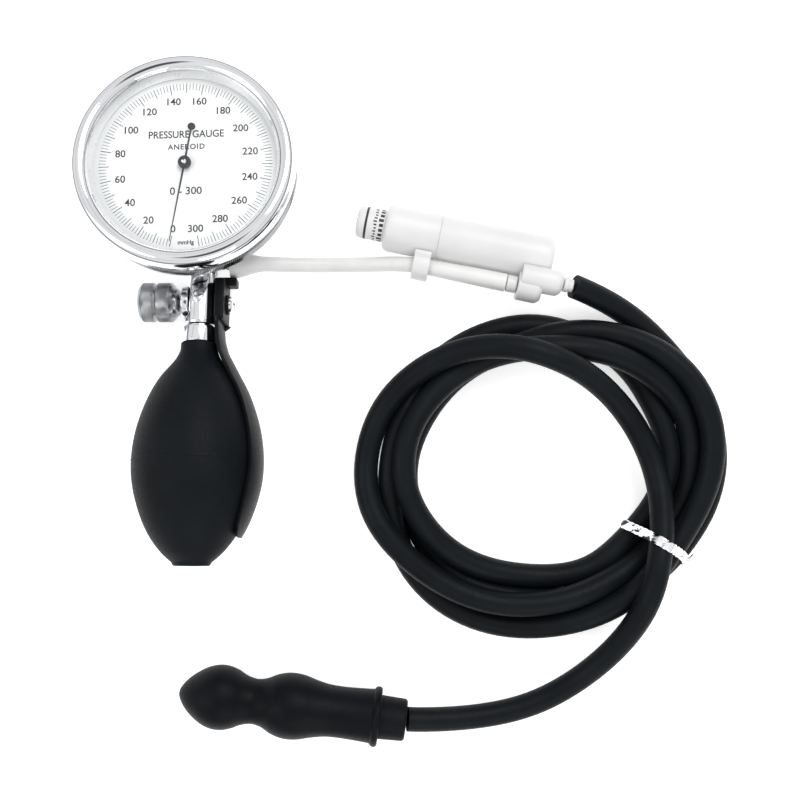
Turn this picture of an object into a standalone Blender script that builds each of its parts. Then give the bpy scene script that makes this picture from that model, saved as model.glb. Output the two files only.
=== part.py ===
"""Hand-held aneroid pressure gauge set: dial gauge, valve tube and squeeze bulb with its
hand guard, a thin connecting tube, an in-line pressure indicator capsule, a coiled rubber
hose held by a twist tie, and a contoured rubber pressure probe.

Units are metres, +Z is up, and the set lies on the plane z = 0.  The origin is at the
bottom centre of the rigid pieces' box.  The gauge, valve and bulb share one tilted frame
(the "unit"): u = +X across, v = along the valve tube towards the gauge, w = the dial's
outward normal.
"""
import math
import bpy
import bmesh
from mathutils import Matrix, Vector

mm = 0.001

# ---------------------------------------------------------------- driving dimensions
SHIFT_X, SHIFT_Y = 23.07 * mm, 1.58 * mm      # from the layout's own centre to the origin
UNIT_TILT = math.radians(10.2)               # the gauge end droops towards the table
UNIT_X, UNIT_Y, UNIT_Z = -64.5 * mm, 70.5 * mm, 3.85 * mm
GAUGE_U = -2.6 * mm                          # gauge centre, across, from the tube axis

BEZEL_R = 35.1 * mm
BEZEL_LIP_R = 29.4 * mm
RING_R = 34.4 * mm
CASE_R = 31.2 * mm
CASE_IN_R = 29.4 * mm
BACK_R = 25.6 * mm
DIAL_R = 31.2 * mm
GLASS_R = 31.5 * mm
W_BACK, W_FLOOR, W_CASE_TOP = 0.85 * mm, 2.6 * mm, 17.3 * mm
W_DIAL, W_FLANGE, W_GLASS = 17.6 * mm, 18.9 * mm, 21.4 * mm

SWEEP_DEG = 340.7                            # pointer travel, 0 to 300 mmHg
ZERO_DEG = 8.3                              # zero mark, clockwise past straight down
POINTER_TIP, POINTER_TAIL = 25.9 * mm, 12.0 * mm
SECTOR_PITCH_R, PINION_PITCH_R = 9.0 * mm, 1.0 * mm
DIAPHRAGM_TRAVEL = 1.4 * mm

TUBE_R = 4.85 * mm                           # valve tube
TUBE_V0, TUBE_V1 = -47.15 * mm, -30.5 * mm
FERRULE_R = 5.45 * mm
FERRULE_V0, FERRULE_V1 = -53.15 * mm, -48.05 * mm
VALVE_V = -39.6 * mm                         # release valve axis
KNOB_R, KNOB_U0, KNOB_U1 = 6.45 * mm, -19.35 * mm, -8.2 * mm
OUTLET_V, OUTLET_W = -26.0 * mm, -2.0 * mm
SCREW_V = -40.4 * mm

BULB_WALL = 2.2 * mm
BULB_TURN = 0.0                              # the soft bulb hangs in line with the tube
GUARD_T = 1.35 * mm

CAP_X, CAP_Y, CAP_Z = 22.89 * mm, 51.12 * mm, 7.95 * mm
CAP_TURN = math.radians(-11.4)
CAP_R, CAP_FRONT, CAP_REAR = 7.85 * mm, -28.35 * mm, 27.4 * mm
SLEEVE_END = -10.3 * mm
PLUNGER_R, PLUNGER_OUT = 5.2 * mm, 9.35 * mm
PLUNGER_IN_TRAVEL = 7.6 * mm
SPIGOT_P, SPIGOT_Z, SPIGOT_R = -7.7 * mm, 12.9 * mm, 4.35 * mm
CONN_P, CONN_Z = -10.7 * mm, 11.6 * mm

THIN_D = 5.0 * mm                            # white connecting tube
HOSE_D = 7.8 * mm                            # black rubber hose

COIL_OUT = (46.0 * mm, -25.7 * mm, 61.2 * mm, 52.6 * mm)   # centre x, y, half axes
COIL_IN = (42.2 * mm, -20.9 * mm, 39.6 * mm, 34.7 * mm)
COIL_Z0, COIL_Z1 = 0.75 * mm, 22.5 * mm
TIE_ANGLE = math.radians(-33.0)
TIE_WIDTH, TIE_T = 3.0 * mm, 0.45 * mm

PROBE_X, PROBE_Y, PROBE_Z = -71.6 * mm, -94.7 * mm, 10.5 * mm
PROBE_TURN = math.radians(-7.1)

# ---------------------------------------------------------------- scene and helpers
for ob in list(bpy.data.objects):
    bpy.data.objects.remove(ob, do_unlink=True)

SET = bpy.data.collections.new("pressure_gauge_set")
CUT = bpy.data.collections.new("cutters")
bpy.context.scene.collection.children.link(SET)
bpy.context.scene.collection.children.link(CUT)


def empty(name, loc, rot=(0, 0, 0), parent=None):
    e = bpy.data.objects.new(name, None)
    e.location = loc
    e.rotation_euler = rot
    e.parent = parent
    e.hide_render = True
    SET.objects.link(e)
    return e


def material(name, color, rough, metal=0.0, alpha=1.0):
    m = bpy.data.materials.new(name)
    m.use_nodes = True
    b = m.node_tree.nodes["Principled BSDF"]
    b.inputs["Base Color"].default_value = (*color, 1.0)
    b.inputs["Roughness"].default_value = rough
    b.inputs["Metallic"].default_value = metal
    b.inputs["Alpha"].default_value = alpha
    return m


CHROME = ((0.80, 0.80, 0.82), 0.10, 1.0)
STEEL = ((0.62, 0.62, 0.64), 0.30, 1.0)
BRASS = ((0.70, 0.52, 0.26), 0.30, 1.0)
BLACKRUB = ((0.022, 0.026, 0.031), 0.55, 0.0)
HOSE = ((0.030, 0.036, 0.042), 0.50, 0.0)
PROBE = ((0.018, 0.020, 0.024), 0.38, 0.0)
WHITE = ((0.86, 0.86, 0.84), 0.35, 0.0)
TUBEW = ((0.80, 0.80, 0.78), 0.40, 0.0)
BLACKPL = ((0.020, 0.021, 0.024), 0.35, 0.0)
GREYPL = ((0.45, 0.46, 0.48), 0.40, 0.0)


def finish(ob, look, parent=None, loc=(0, 0, 0), rot=(0, 0, 0), coll=None):
    (coll or SET).objects.link(ob)
    ob.parent = parent
    ob.location = loc
    ob.rotation_euler = rot
    if look is not None:
        color, rough, metal = look[:3]
        ob.data.materials.append(material(ob.name + "_mat", color, rough, metal))
    return ob


def smooth(ob, deg=35):
    for p in ob.data.polygons:
        p.use_smooth = True
    return ob


def profile_mesh(name, pts, closed):
    me = bpy.data.meshes.new(name)
    n = len(pts)
    edges = [(i, i + 1) for i in range(n - 1)] + ([(n - 1, 0)] if closed else [])
    me.from_pydata([(r, 0.0, z) for r, z in pts], edges, [])
    return me


def turned(name, pts, steps, look, parent=None, loc=(0, 0, 0), rot=(0, 0, 0),
           closed=False, coll=None):
    """Turn (radius, height) points about local Z; the outer side runs top to bottom."""
    ob = bpy.data.objects.new(name, profile_mesh(name, pts, closed))
    finish(ob, look, parent, loc, rot, coll)
    m = ob.modifiers.new("turn", 'SCREW')
    m.axis = 'Z'
    m.steps = steps
    m.render_steps = steps
    m.angle = 2 * math.pi
    m.use_merge_vertices = True
    m.merge_threshold = 0.00001
    m.use_smooth_shade = True
    return ob


def rod(name, r, z0, z1, steps, look, parent=None, loc=(0, 0, 0), rot=(0, 0, 0),
        edge=0.0, coll=None):
    """A solid round piece from z0 to z1 with a small edge chamfer."""
    if edge:
        pts = [(0, z1), (r - edge, z1), (r, z1 - edge), (r, z0 + edge), (r - edge, z0), (0, z0)]
    else:
        pts = [(0, z1), (r, z1), (r, z0), (0, z0)]
    return turned(name, pts, steps, look, parent, loc, rot, False, coll)


def ring(name, r0, r1, z0, z1, steps, look, parent=None, loc=(0, 0, 0), rot=(0, 0, 0),
         edge=0.0, coll=None):
    e = edge
    if e:
        pts = [(r0, z1), (r1 - e, z1), (r1, z1 - e), (r1, z0 + e), (r1 - e, z0), (r0, z0)]
    else:
        pts = [(r0, z1), (r1, z1), (r1, z0), (r0, z0)]
    return turned(name, pts, steps, look, parent, loc, rot, True, coll)


def block(name, size, centre, look, parent=None, loc=(0, 0, 0), rot=(0, 0, 0),
          bevel=0.0, coll=None):
    me = bpy.data.meshes.new(name)
    bm = bmesh.new()
    bmesh.ops.create_cube(bm, size=1.0)
    bmesh.ops.scale(bm, vec=size, verts=bm.verts)
    bmesh.ops.translate(bm, vec=centre, verts=bm.verts)
    bm.to_mesh(me)
    bm.free()
    ob = finish(bpy.data.objects.new(name, me), look, parent, loc, rot, coll)
    if bevel:
        b = ob.modifiers.new("edge", 'BEVEL')
        b.width = bevel
        b.segments = 1
        b.limit_method = 'ANGLE'
    return ob


def boolean(ob, other, op):
    m = ob.modifiers.new(op.lower(), 'BOOLEAN')
    m.operation = op
    m.object = other
    m.solver = 'EXACT'
    other.hide_render = True
    other.display_type = 'WIRE'
    return ob


def cut(ob, other):
    return boolean(ob, other, 'DIFFERENCE')


def join(ob, other):
    return boolean(ob, other, 'UNION')


def smooth_route(points, step):
    """Points along a Catmull-Rom curve through the route, about `step` apart."""
    P = [Vector(p) for p in points]
    P = [P[0] * 2 - P[1]] + P + [P[-1] * 2 - P[-2]]
    dense = []
    for i in range(1, len(P) - 2):
        p0, p1, p2, p3 = P[i - 1], P[i], P[i + 1], P[i + 2]
        for k in range(40):
            t = k / 40.0
            dense.append(0.5 * ((2 * p1) + (p2 - p0) * t + (2 * p0 - 5 * p1 + 4 * p2 - p3) * t * t
                                + (3 * p1 - p0 - 3 * p2 + p3) * t ** 3))
    dense.append(P[-2].copy())
    acc = [0.0]
    for a, b in zip(dense, dense[1:]):
        acc.append(acc[-1] + (b - a).length)
    n = max(2, round(acc[-1] / step))
    out, j = [], 0
    for i in range(n + 1):
        s = acc[-1] * i / n
        while j < len(acc) - 2 and acc[j + 1] < s:
            j += 1
        f = (s - acc[j]) / max(acc[j + 1] - acc[j], 1e-12)
        out.append(dense[j].lerp(dense[j + 1], min(max(f, 0.0), 1.0)))
    return out


def tube(name, route, diameter, look, step, res=3, flare=None):
    """A round tube on a smooth route; flare(s) scales its radius s metres from the start."""
    pts = smooth_route(route, step)
    cu = bpy.data.curves.new(name, 'CURVE')
    cu.dimensions = '3D'
    cu.bevel_depth = diameter / 2
    cu.bevel_resolution = res
    cu.use_fill_caps = True
    sp = cu.splines.new('POLY')
    sp.points.add(len(pts) - 1)
    s = 0.0
    for i, p in enumerate(pts):
        if i:
            s += (p - pts[i - 1]).length
        sp.points[i].co = (*p, 1.0)
        sp.points[i].radius = flare(s) if flare else 1.0
    return finish(bpy.data.objects.new(name, cu), look, LAYOUT)


LAYOUT = empty("layout", (SHIFT_X, SHIFT_Y, 0))
UNIT = empty("unit", (UNIT_X, UNIT_Y, UNIT_Z), (-UNIT_TILT, 0, 0), LAYOUT)
DIAL = empty("dial_axis", (GAUGE_U, 0, 0), (0, 0, 0), UNIT)
ALONG_V = (math.radians(-90), 0, 0)           # local Z along +v
OUT_LEFT = (0, math.radians(-90), 0)          # local Z along -u
OUT_RIGHT = (0, math.radians(90), 0)          # local Z along +u

# ---------------------------------------------------------------- gauge shell
turned("bezel_ring", [
    (BEZEL_LIP_R, 23.7 * mm), (30.4 * mm, 24.7 * mm), (32.0 * mm, 25.1 * mm),
    (33.5 * mm, 24.6 * mm), (34.6 * mm, 23.3 * mm), (35.1 * mm, 21.5 * mm),
    (35.0 * mm, 19.6 * mm), (34.4 * mm, 17.8 * mm), (33.6 * mm, 16.4 * mm),
    (31.9 * mm, 16.4 * mm), (31.9 * mm, 23.2 * mm), (BEZEL_LIP_R, 23.2 * mm)],
    44, CHROME, DIAL, closed=True)
turned("gauge_glass", [
    (0, 22.9 * mm), (GLASS_R - 0.6 * mm, 22.9 * mm), (GLASS_R, 22.4 * mm),
    (GLASS_R, W_GLASS), (0, W_GLASS)], 36, ((0.95, 0.97, 0.98), 0.03, 0.0), DIAL)
bpy.data.materials["gauge_glass_mat"].node_tree.nodes["Principled BSDF"].inputs["Alpha"].default_value = 0.15
turned("inner_flange", [
    (30.4 * mm, 20.6 * mm), (31.5 * mm, 20.6 * mm), (31.5 * mm, W_FLANGE),
    (28.7 * mm, W_FLANGE)], 36, GREYPL, DIAL, closed=True)
ring("dial_plate", 1.3 * mm, DIAL_R, W_DIAL, W_DIAL + 0.9 * mm, 36,
     ((0.90, 0.90, 0.89), 0.45, 0.0), DIAL)
ring("knurled_ring", 31.6 * mm, RING_R, 11.4 * mm, 16.0 * mm, 40, CHROME, DIAL, edge=0.5 * mm)
case = turned("gauge_case", [
    (CASE_IN_R, W_CASE_TOP), (CASE_R, W_CASE_TOP), (CASE_R, 7.0 * mm), (30.0 * mm, 4.4 * mm),
    (27.4 * mm, W_FLOOR), (0, W_FLOOR)], 36, STEEL, DIAL)
case.data.clear_geometry()
pts = [(0, W_FLOOR + 1.4 * mm), (CASE_IN_R - 1.2 * mm, W_FLOOR + 1.4 * mm), (CASE_IN_R, 5.6 * mm),
       (CASE_IN_R, W_CASE_TOP), (CASE_R, W_CASE_TOP), (CASE_R, 7.0 * mm), (30.0 * mm, 4.4 * mm),
       (27.4 * mm, W_FLOOR), (0, W_FLOOR)]
case.data.from_pydata([(r, 0.0, z) for r, z in pts], [(i, i + 1) for i in range(len(pts) - 1)], [])
back = turned("case_back", [
    (0, W_FLOOR - 0.3 * mm), (BACK_R, W_FLOOR - 0.3 * mm), (BACK_R, 1.9 * mm),
    (BACK_R - 0.9 * mm, W_BACK), (0, W_BACK)], 32, STEEL, DIAL)
STEM_V = -13.0 * mm
stem_cut = rod("cut_stem", 2.6 * mm, -1 * mm, 6 * mm, 20, None, UNIT, (0, STEM_V, 0), coll=CUT)
cut(case, stem_cut)
cut(back, stem_cut)
rod("gauge_stem", 2.2 * mm, 0.85 * mm, 4.05 * mm, 20, BRASS, UNIT, (0, STEM_V, 0), edge=0.2 * mm)

# ---------------------------------------------------------------- gauge movement
turned("pressure_diaphragm", [
    (0, 7.0 * mm), (4.0 * mm, 7.0 * mm), (6.0 * mm, 7.5 * mm), (8.0 * mm, 6.9 * mm),
    (10.0 * mm, 7.4 * mm), (12.0 * mm, 6.8 * mm), (14.0 * mm, 7.1 * mm), (17.0 * mm, 6.1 * mm),
    (17.0 * mm, 5.6 * mm), (14.0 * mm, 4.5 * mm), (10.0 * mm, 4.35 * mm), (0, 4.35 * mm)],
    22, BRASS, DIAL)
post_axis = empty("diaphragm_axis", (0, 0, 7.8 * mm), (0, 0, 0), DIAL)
turned("diaphragm_post", [
    (0, 1.2 * mm), (0.9 * mm, 1.2 * mm), (1.1 * mm, 1.0 * mm), (1.1 * mm, 0.5 * mm),
    (2.4 * mm, 0.5 * mm), (2.4 * mm, 0), (0, 0)], 20, BRASS, post_axis)
plate_hole = rod("cut_staff", 0.95 * mm, 10 * mm, 20 * mm, 16, None, DIAL, coll=CUT)
SECTOR_U = SECTOR_PITCH_R + PINION_PITCH_R
frame_lo = block("movement_frame", (31 * mm, 9 * mm, 0.7 * mm), (1.5 * mm, 0, 11.35 * mm),
                 BRASS, DIAL)
frame_hi = block("cut_frame_top", (31 * mm, 9 * mm, 0.7 * mm), (1.5 * mm, 0, 15.9 * mm), None,
                 DIAL, coll=CUT)
join(frame_lo, frame_hi)
for k, u in enumerate((-12.6 * mm, 15.6 * mm)):
    join(frame_lo, rod("cut_pillar_%d" % k, 1.1 * mm, 11.2 * mm, 16.0 * mm, 12, None, DIAL,
                       (u, 0, 0), coll=CUT))
cut(frame_lo, plate_hole)
sector_hole = rod("cut_sector_pin", 0.95 * mm, 9 * mm, 20 * mm, 16, None, DIAL,
                  (SECTOR_U, 0, 0), coll=CUT)
cut(frame_lo, sector_hole)

sector_axis = empty("sector_axis", (SECTOR_U, 0, 0), (0, 0, 0), DIAL)


def sector_outline():
    """A toothed sector around its pivot, reaching towards -u, with a short tail."""
    tip, root = SECTOR_PITCH_R - 0.25 * mm, SECTOR_PITCH_R - 1.1 * mm
    half, teeth = math.radians(27.5), 11
    mid = math.pi - math.radians(17.5)
    pts = []
    for i in range(teeth):
        a = mid - half + 2 * half * (i + 0.5) / teeth
        q = half / teeth
        for da, r in ((-0.95, root), (-0.35, tip), (0.35, tip), (0.95, root)):
            pts.append((r * math.cos(a + da * q), r * math.sin(a + da * q)))
    for a, r in ((mid + half, 6.4), (mid + math.radians(60), 2.6), (mid + math.radians(120), 1.9),
                 (mid + math.pi, 1.9), (mid - math.radians(120), 1.9),
                 (mid - math.radians(60), 2.6), (mid - half, 6.4)):
        rr = r * mm
        pts.append((rr * math.cos(a), rr * math.sin(a)))
    return pts


def flat_plate(name, outlines, thick, look, parent, loc=(0, 0, 0), rot=(0, 0, 0)):
    """A flat outline (further outlines are holes) with half its thickness each way."""
    cu = bpy.data.curves.new(name, 'CURVE')
    cu.dimensions = '2D'
    cu.fill_mode = 'BOTH'
    cu.extrude = thick / 2
    for pts in outlines:
        sp = cu.splines.new('POLY')
        sp.points.add(len(pts) - 1)
        for i, (x, y) in enumerate(pts):
            sp.points[i].co = (x, y, 0.0, 1.0)
        sp.use_cyclic_u = True
    return finish(bpy.data.objects.new(name, cu), look, parent, loc, rot)


def curve_to_mesh(ob, gap=0.000001):
    """The curve's own surface as a welded mesh that can take modifiers."""
    deps = bpy.context.evaluated_depsgraph_get()
    deps.update()
    me = bpy.data.meshes.new_from_object(ob.evaluated_get(deps))
    bm = bmesh.new()
    bm.from_mesh(me)
    bmesh.ops.remove_doubles(bm, verts=bm.verts, dist=gap)
    bm.to_mesh(me)
    bm.free()
    name, parent, mats = ob.name, ob.parent, list(ob.data.materials)
    loc, rot = ob.location.copy(), ob.rotation_euler.copy()
    old = ob.data
    bpy.data.objects.remove(ob, do_unlink=True)
    old.name = name + "_outline"
    me.name = name
    new = bpy.data.objects.new(name, me)
    SET.objects.link(new)
    new.parent = parent
    new.location = loc
    new.rotation_euler = rot
    if not me.materials:
        for m in mats:
            me.materials.append(m)
    return new


sector = curve_to_mesh(flat_plate("sector_gear", [sector_outline()], 0.7 * mm, BRASS, sector_axis,
                                  (0, 0, 12.75 * mm)))
join(sector, rod("cut_sector_staff", 0.6 * mm, 11.1 * mm, 16.2 * mm, 12, None, sector_axis,
                 coll=CUT))

pointer_axis = empty("pointer_axis", (0, 0, 0), (0, 0, 0), DIAL)


def pinion_outline(teeth=8):
    pts = []
    for i in range(teeth):
        a = 2 * math.pi * i / teeth
        q = math.pi / teeth
        for da, r in ((-0.55, 0.72), (-0.3, 1.0), (0.3, 1.0), (0.55, 0.72)):
            pts.append((r * mm * math.cos(a + da * q), r * mm * math.sin(a + da * q)))
    return pts


pinion = curve_to_mesh(flat_plate("pinion_staff", [pinion_outline()], 1.2 * mm, STEEL,
                                  pointer_axis, (0, 0, 12.75 * mm)))
staff = rod("cut_pointer_staff", 0.55 * mm, 11.1 * mm, 19.3 * mm, 12, None, pointer_axis, coll=CUT)
join(pinion, staff)


def pointer_outline():
    """Needle with a round counterweight, along local -Y (towards the tip)."""
    pts = [(-0.10 * mm, -POINTER_TIP), (0.10 * mm, -POINTER_TIP), (0.42 * mm, -3.0 * mm),
           (0.42 * mm, POINTER_TAIL - 1.1 * mm)]
    for i in range(11):
        a = math.radians(-68 + (360 - 44) * i / 10.0)
        pts.append((1.17 * mm * math.cos(a), POINTER_TAIL + 1.17 * mm * math.sin(a)))
    pts += [(-0.42 * mm, POINTER_TAIL - 1.1 * mm), (-0.42 * mm, -3.0 * mm)]
    return pts


pointer = curve_to_mesh(flat_plate("pointer", [pointer_outline()], 0.4 * mm, BLACKPL, pointer_axis,
                                   (0, 0, 20.2 * mm), (0, 0, -math.radians(ZERO_DEG))))
hub = rod("cut_pointer_hub", 2.1 * mm, 19.6 * mm, 20.95 * mm, 24, None, pointer_axis,
          edge=0.25 * mm, coll=CUT)
join(pointer, hub)

cu = bpy.data.curves.new("hairspring", 'CURVE')
cu.dimensions = '3D'
cu.bevel_depth = 0.16 * mm
cu.bevel_resolution = 0
cu.use_fill_caps = True
sp = cu.splines.new('POLY')
TURNS, PER = 3.25, 14
count = int(TURNS * PER)
sp.points.add(count)
for i in range(count + 1):
    a = 2 * math.pi * i / PER
    r = 1.3 * mm + 2.9 * mm * i / count
    sp.points[i].co = (r * math.cos(a), r * math.sin(a), 14.4 * mm, 1.0)
finish(bpy.data.objects.new("hairspring", cu), STEEL, DIAL)

# ---------------------------------------------------------------- valve tube
body = rod("valve_body", TUBE_R, TUBE_V0, TUBE_V1, 28, CHROME, UNIT, rot=ALONG_V, edge=0.4 * mm)
head = block("cut_valve_head", (10.0 * mm, 23.3 * mm, 5.0 * mm), (0, -21.35 * mm, -2.05 * mm), None,
             UNIT, bevel=0.8 * mm, coll=CUT)
join(body, head)
cut(body, rod("cut_bore", 2.1 * mm, TUBE_V0 - 1 * mm, -24.0 * mm, 20, None, UNIT,
              (0, 0, -0.6 * mm), ALONG_V, coll=CUT))
cut(body, rod("cut_spindle", 2.45 * mm, -1.0 * mm, 9 * mm, 20, None, UNIT,
              (0, VALVE_V, 0), OUT_LEFT, coll=CUT))
cut(body, rod("cut_outlet", 1.1 * mm, 0, 9 * mm, 14, None, UNIT,
              (0, OUTLET_V, OUTLET_W), OUT_RIGHT, coll=CUT))
cut(body, rod("cut_screw_seat", 1.8 * mm, 3.2 * mm, 9 * mm, 16, None, UNIT,
              (0, SCREW_V, 0), OUT_RIGHT, coll=CUT))
turned("outlet_barb", [
    (1.0 * mm, 8.7 * mm), (1.9 * mm, 8.7 * mm), (2.2 * mm, 7.9 * mm), (2.2 * mm, 6.4 * mm),
    (2.35 * mm, 5.3 * mm), (1.0 * mm, 5.3 * mm)], 20, CHROME, UNIT, (0, OUTLET_V, OUTLET_W),
    OUT_RIGHT, closed=True)
ferrule = turned("bulb_ferrule", [
    (1.5 * mm, -47.45 * mm), (4.4 * mm, -47.45 * mm), (4.4 * mm, FERRULE_V1 - 0.1 * mm),
    (FERRULE_R - 0.3 * mm, FERRULE_V1 - 0.1 * mm), (FERRULE_R, FERRULE_V1 - 0.5 * mm),
    (FERRULE_R, FERRULE_V0 + 0.3 * mm), (FERRULE_R - 0.3 * mm, FERRULE_V0),
    (3.2 * mm, FERRULE_V0), (3.2 * mm, -62.0 * mm), (2.6 * mm, -63.0 * mm), (1.5 * mm, -63.0 * mm)],
    24, CHROME, UNIT, rot=ALONG_V, closed=True)
ball_axis = empty("check_ball_axis", (0, -43.8 * mm, -0.6 * mm), (0, 0, 0), UNIT)


def ball(name, r, look, parent):
    me = bpy.data.meshes.new(name)
    bm = bmesh.new()
    bmesh.ops.create_uvsphere(bm, u_segments=14, v_segments=9, radius=r)
    bm.to_mesh(me)
    bm.free()
    return smooth(finish(bpy.data.objects.new(name, me), look, parent))


ball("check_valve_ball", 1.45 * mm, STEEL, ball_axis)

# release valve, in frames whose Z points outward along -u
flange = rod("valve_flange", 5.7 * mm, 3.9 * mm, 5.5 * mm, 28, CHROME, UNIT, (0, VALVE_V, 0),
             OUT_LEFT, edge=0.3 * mm)
cut(flange, rod("cut_flange_seat", TUBE_R + 0.3 * mm, -60 * mm, -20 * mm, 28, None, UNIT,
                rot=ALONG_V, coll=CUT))
cut(flange, rod("cut_flange_bore", 2.45 * mm, 0, 9 * mm, 20, None, UNIT, (0, VALVE_V, 0),
                OUT_LEFT, coll=CUT))
spindle_axis = empty("spindle_axis", (0, VALVE_V, 0), OUT_LEFT, UNIT)
turned("valve_spindle", [
    (0, 11.1 * mm), (1.7 * mm, 11.1 * mm), (2.0 * mm, 10.8 * mm), (2.0 * mm, 3.6 * mm),
    (1.3 * mm, 3.1 * mm), (0.3 * mm, 0.9 * mm), (0, 0.9 * mm)], 18, STEEL, spindle_axis)
knob_axis = empty("knob_axis", (0, 0, 0), (0, 0, 0), spindle_axis)
turned("release_knob", [
    (0, 19.35 * mm), (5.3 * mm, 19.35 * mm), (KNOB_R, 18.25 * mm), (KNOB_R, 14.75 * mm),
    (5.9 * mm, 14.35 * mm), (5.9 * mm, 13.75 * mm), (KNOB_R, 13.35 * mm), (KNOB_R, 9.2 * mm),
    (5.3 * mm, 8.2 * mm), (4.7 * mm, 8.2 * mm), (4.65 * mm, 7.6 * mm), (4.0 * mm, 6.85 * mm),
    (3.2 * mm, 6.45 * mm), (2.35 * mm, 6.45 * mm), (2.35 * mm, 11.5 * mm), (0, 11.5 * mm)],
    24, CHROME, knob_axis)

# ---------------------------------------------------------------- squeeze bulb
BULB_PROFILE = [  # (v, outer radius) from the neck to the valve end
    (-53.45, 5.80), (-55.6, 5.95), (-58.3, 7.05), (-61.0, 9.0), (-64.2, 11.5), (-68.0, 13.75),
    (-72.1, 15.6), (-76.3, 17.1), (-80.6, 18.3), (-84.5, 19.05), (-88.3, 19.5), (-92.8, 19.65),
    (-97.8, 19.25), (-103.5, 18.0), (-110.3, 15.6),
    (-115.2, 13.0), (-119.5, 9.7), (-122.0, 7.1), (-123.8, 5.7)]
NECK_V = -53.45 * mm
bulb_frame = empty("bulb_frame", (0, NECK_V, 0), (math.radians(-90), 0, 0), UNIT)
bulb_turn = empty("bulb_turn", (0, 0, 0), (0, BULB_TURN, 0), bulb_frame)
outer = [(r * mm, v * mm - NECK_V) for v, r in BULB_PROFILE]
inner = []
for r, z in reversed(outer[2:-4:2]):
    inner.append((max(r - BULB_WALL, 3.55 * mm), z + 0.0))
inner = [(4.55 * mm, outer[-1][1]), (4.55 * mm, outer[-1][1] + 5.6 * mm)] + \
        [p for p in inner if outer[-1][1] + 5.9 * mm < p[1] < -6.5 * mm] + \
        [(3.55 * mm, -4.5 * mm), (3.55 * mm, outer[0][1])]
turned("squeeze_bulb", outer + inner, 24, BLACKRUB, bulb_turn, closed=True)
END_Z = outer[-1][1]
turned("inlet_valve", [
    (1.75 * mm, END_Z + 5.4 * mm), (4.2 * mm, END_Z + 5.4 * mm), (4.2 * mm, END_Z + 0.5 * mm),
    (3.8 * mm, END_Z + 0.2 * mm), (1.0 * mm, END_Z + 0.2 * mm), (1.0 * mm, END_Z + 1.4 * mm),
    (1.75 * mm, END_Z + 2.2 * mm)], 22, STEEL, bulb_turn, closed=True)
inlet_axis = empty("inlet_ball_axis", (0, 0, END_Z + 3.6 * mm), (0, 0, 0), bulb_turn)
ball("inlet_ball", 1.4 * mm, STEEL, inlet_axis)

# ---------------------------------------------------------------- hand guard


def bulb_radius(v):
    P = BULB_PROFILE
    v = v / mm
    if v >= P[0][0]:
        return P[0][1] * mm
    for (v0, r0), (v1, r1) in zip(P, P[1:]):
        if v1 <= v <= v0:
            return (r0 + (r1 - r0) * (v0 - v) / (v0 - v1)) * mm
    return P[-1][1] * mm


GUARD = [  # v, inner distance from the axis (0: follow the bulb), half height, roundness
    (-33.2, 6.0, 6.0, 0.0), (-36.0, 5.6, 6.0, 0.0), (-45.3, 5.6, 6.0, 0.0),
    (-48.3, 6.2, 6.0, 0.1), (-52.5, 6.9, 6.0, 0.25), (-57.0, 8.3, 6.0, 0.5), (-61.0, 10.5, 6.2, 0.8),
    (-66.0, 0, 6.6, 1.0), (-71.0, 0, 7.3, 1.0), (-76.5, 0, 8.1, 1.0), (-82.0, 0, 8.7, 1.0),
    (-87.0, 0, 9.0, 1.0), (-92.5, 0, 9.2, 1.0), (-98.0, 0, 9.2, 1.0), (-103.0, 0, 8.8, 1.0),
    (-107.5, 0, 8.0, 1.0), (-111.0, 0, 6.8, 1.0), (-113.4, 0, 5.2, 1.0), (-114.8, 0, 2.8, 1.0)]


def guard_mesh():
    bm = bmesh.new()
    rows, across = [], 6
    for v, d, h, k in GUARD:
        v *= mm
        turn_off = -(v - NECK_V) * math.tan(BULB_TURN) if v < NECK_V else 0.0
        dist = d * mm if d else bulb_radius(v) + 0.5 * mm
        row = []
        for j in range(across + 1):
            w = h * mm * (-1 + 2 * j / across)
            w = min(max(w, -dist * 0.98), dist * 0.98)
            u = (1 - k) * dist + k * math.sqrt(dist * dist - w * w)
            row.append(bm.verts.new((u - turn_off, v, w)))
        rows.append(row)
    for a, b in zip(rows, rows[1:]):
        for j in range(across):
            bm.faces.new((a[j], a[j + 1], b[j + 1], b[j]))
    bmesh.ops.recalc_face_normals(bm, faces=bm.faces)
    me = bpy.data.meshes.new("hand_guard")
    bm.to_mesh(me)
    bm.free()
    return me


guard = finish(bpy.data.objects.new("hand_guard", guard_mesh()), BLACKPL, UNIT)
sol = guard.modifiers.new("thickness", 'SOLIDIFY')
sol.thickness = GUARD_T
sol.offset = 1.0
sol.use_even_offset = True
smooth(guard)
arm = block("cut_guard_arm", (3.0 * mm, 13.5 * mm, 12.0 * mm), (6.9 * mm, -39.6 * mm, 0), None, UNIT,
            bevel=0.5 * mm, coll=CUT)
join(guard, arm)
bar = block("cut_guard_bar", (6.6 * mm, 2.8 * mm, 5.0 * mm), (8.3 * mm, -32.6 * mm, -1.6 * mm), None, UNIT,
            bevel=0.5 * mm, coll=CUT)
join(guard, bar)
boss = rod("cut_guard_boss", 3.2 * mm, 7.0 * mm, 9.3 * mm, 20, None, UNIT, (0, SCREW_V, 0),
           OUT_RIGHT, coll=CUT)
join(guard, boss)
cut(guard, rod("cut_guard_hole", 1.85 * mm, 3 * mm, 12 * mm, 16, None, UNIT, (0, SCREW_V, 0),
               OUT_RIGHT, coll=CUT))
turned("guard_screw", [
    (0, 10.9 * mm), (1.9 * mm, 10.75 * mm), (2.7 * mm, 10.1 * mm), (2.7 * mm, 9.65 * mm),
    (1.45 * mm, 9.65 * mm), (1.45 * mm, 3.7 * mm), (0, 3.6 * mm)], 20, CHROME, UNIT,
    (0, SCREW_V, 0), OUT_RIGHT)

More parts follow.
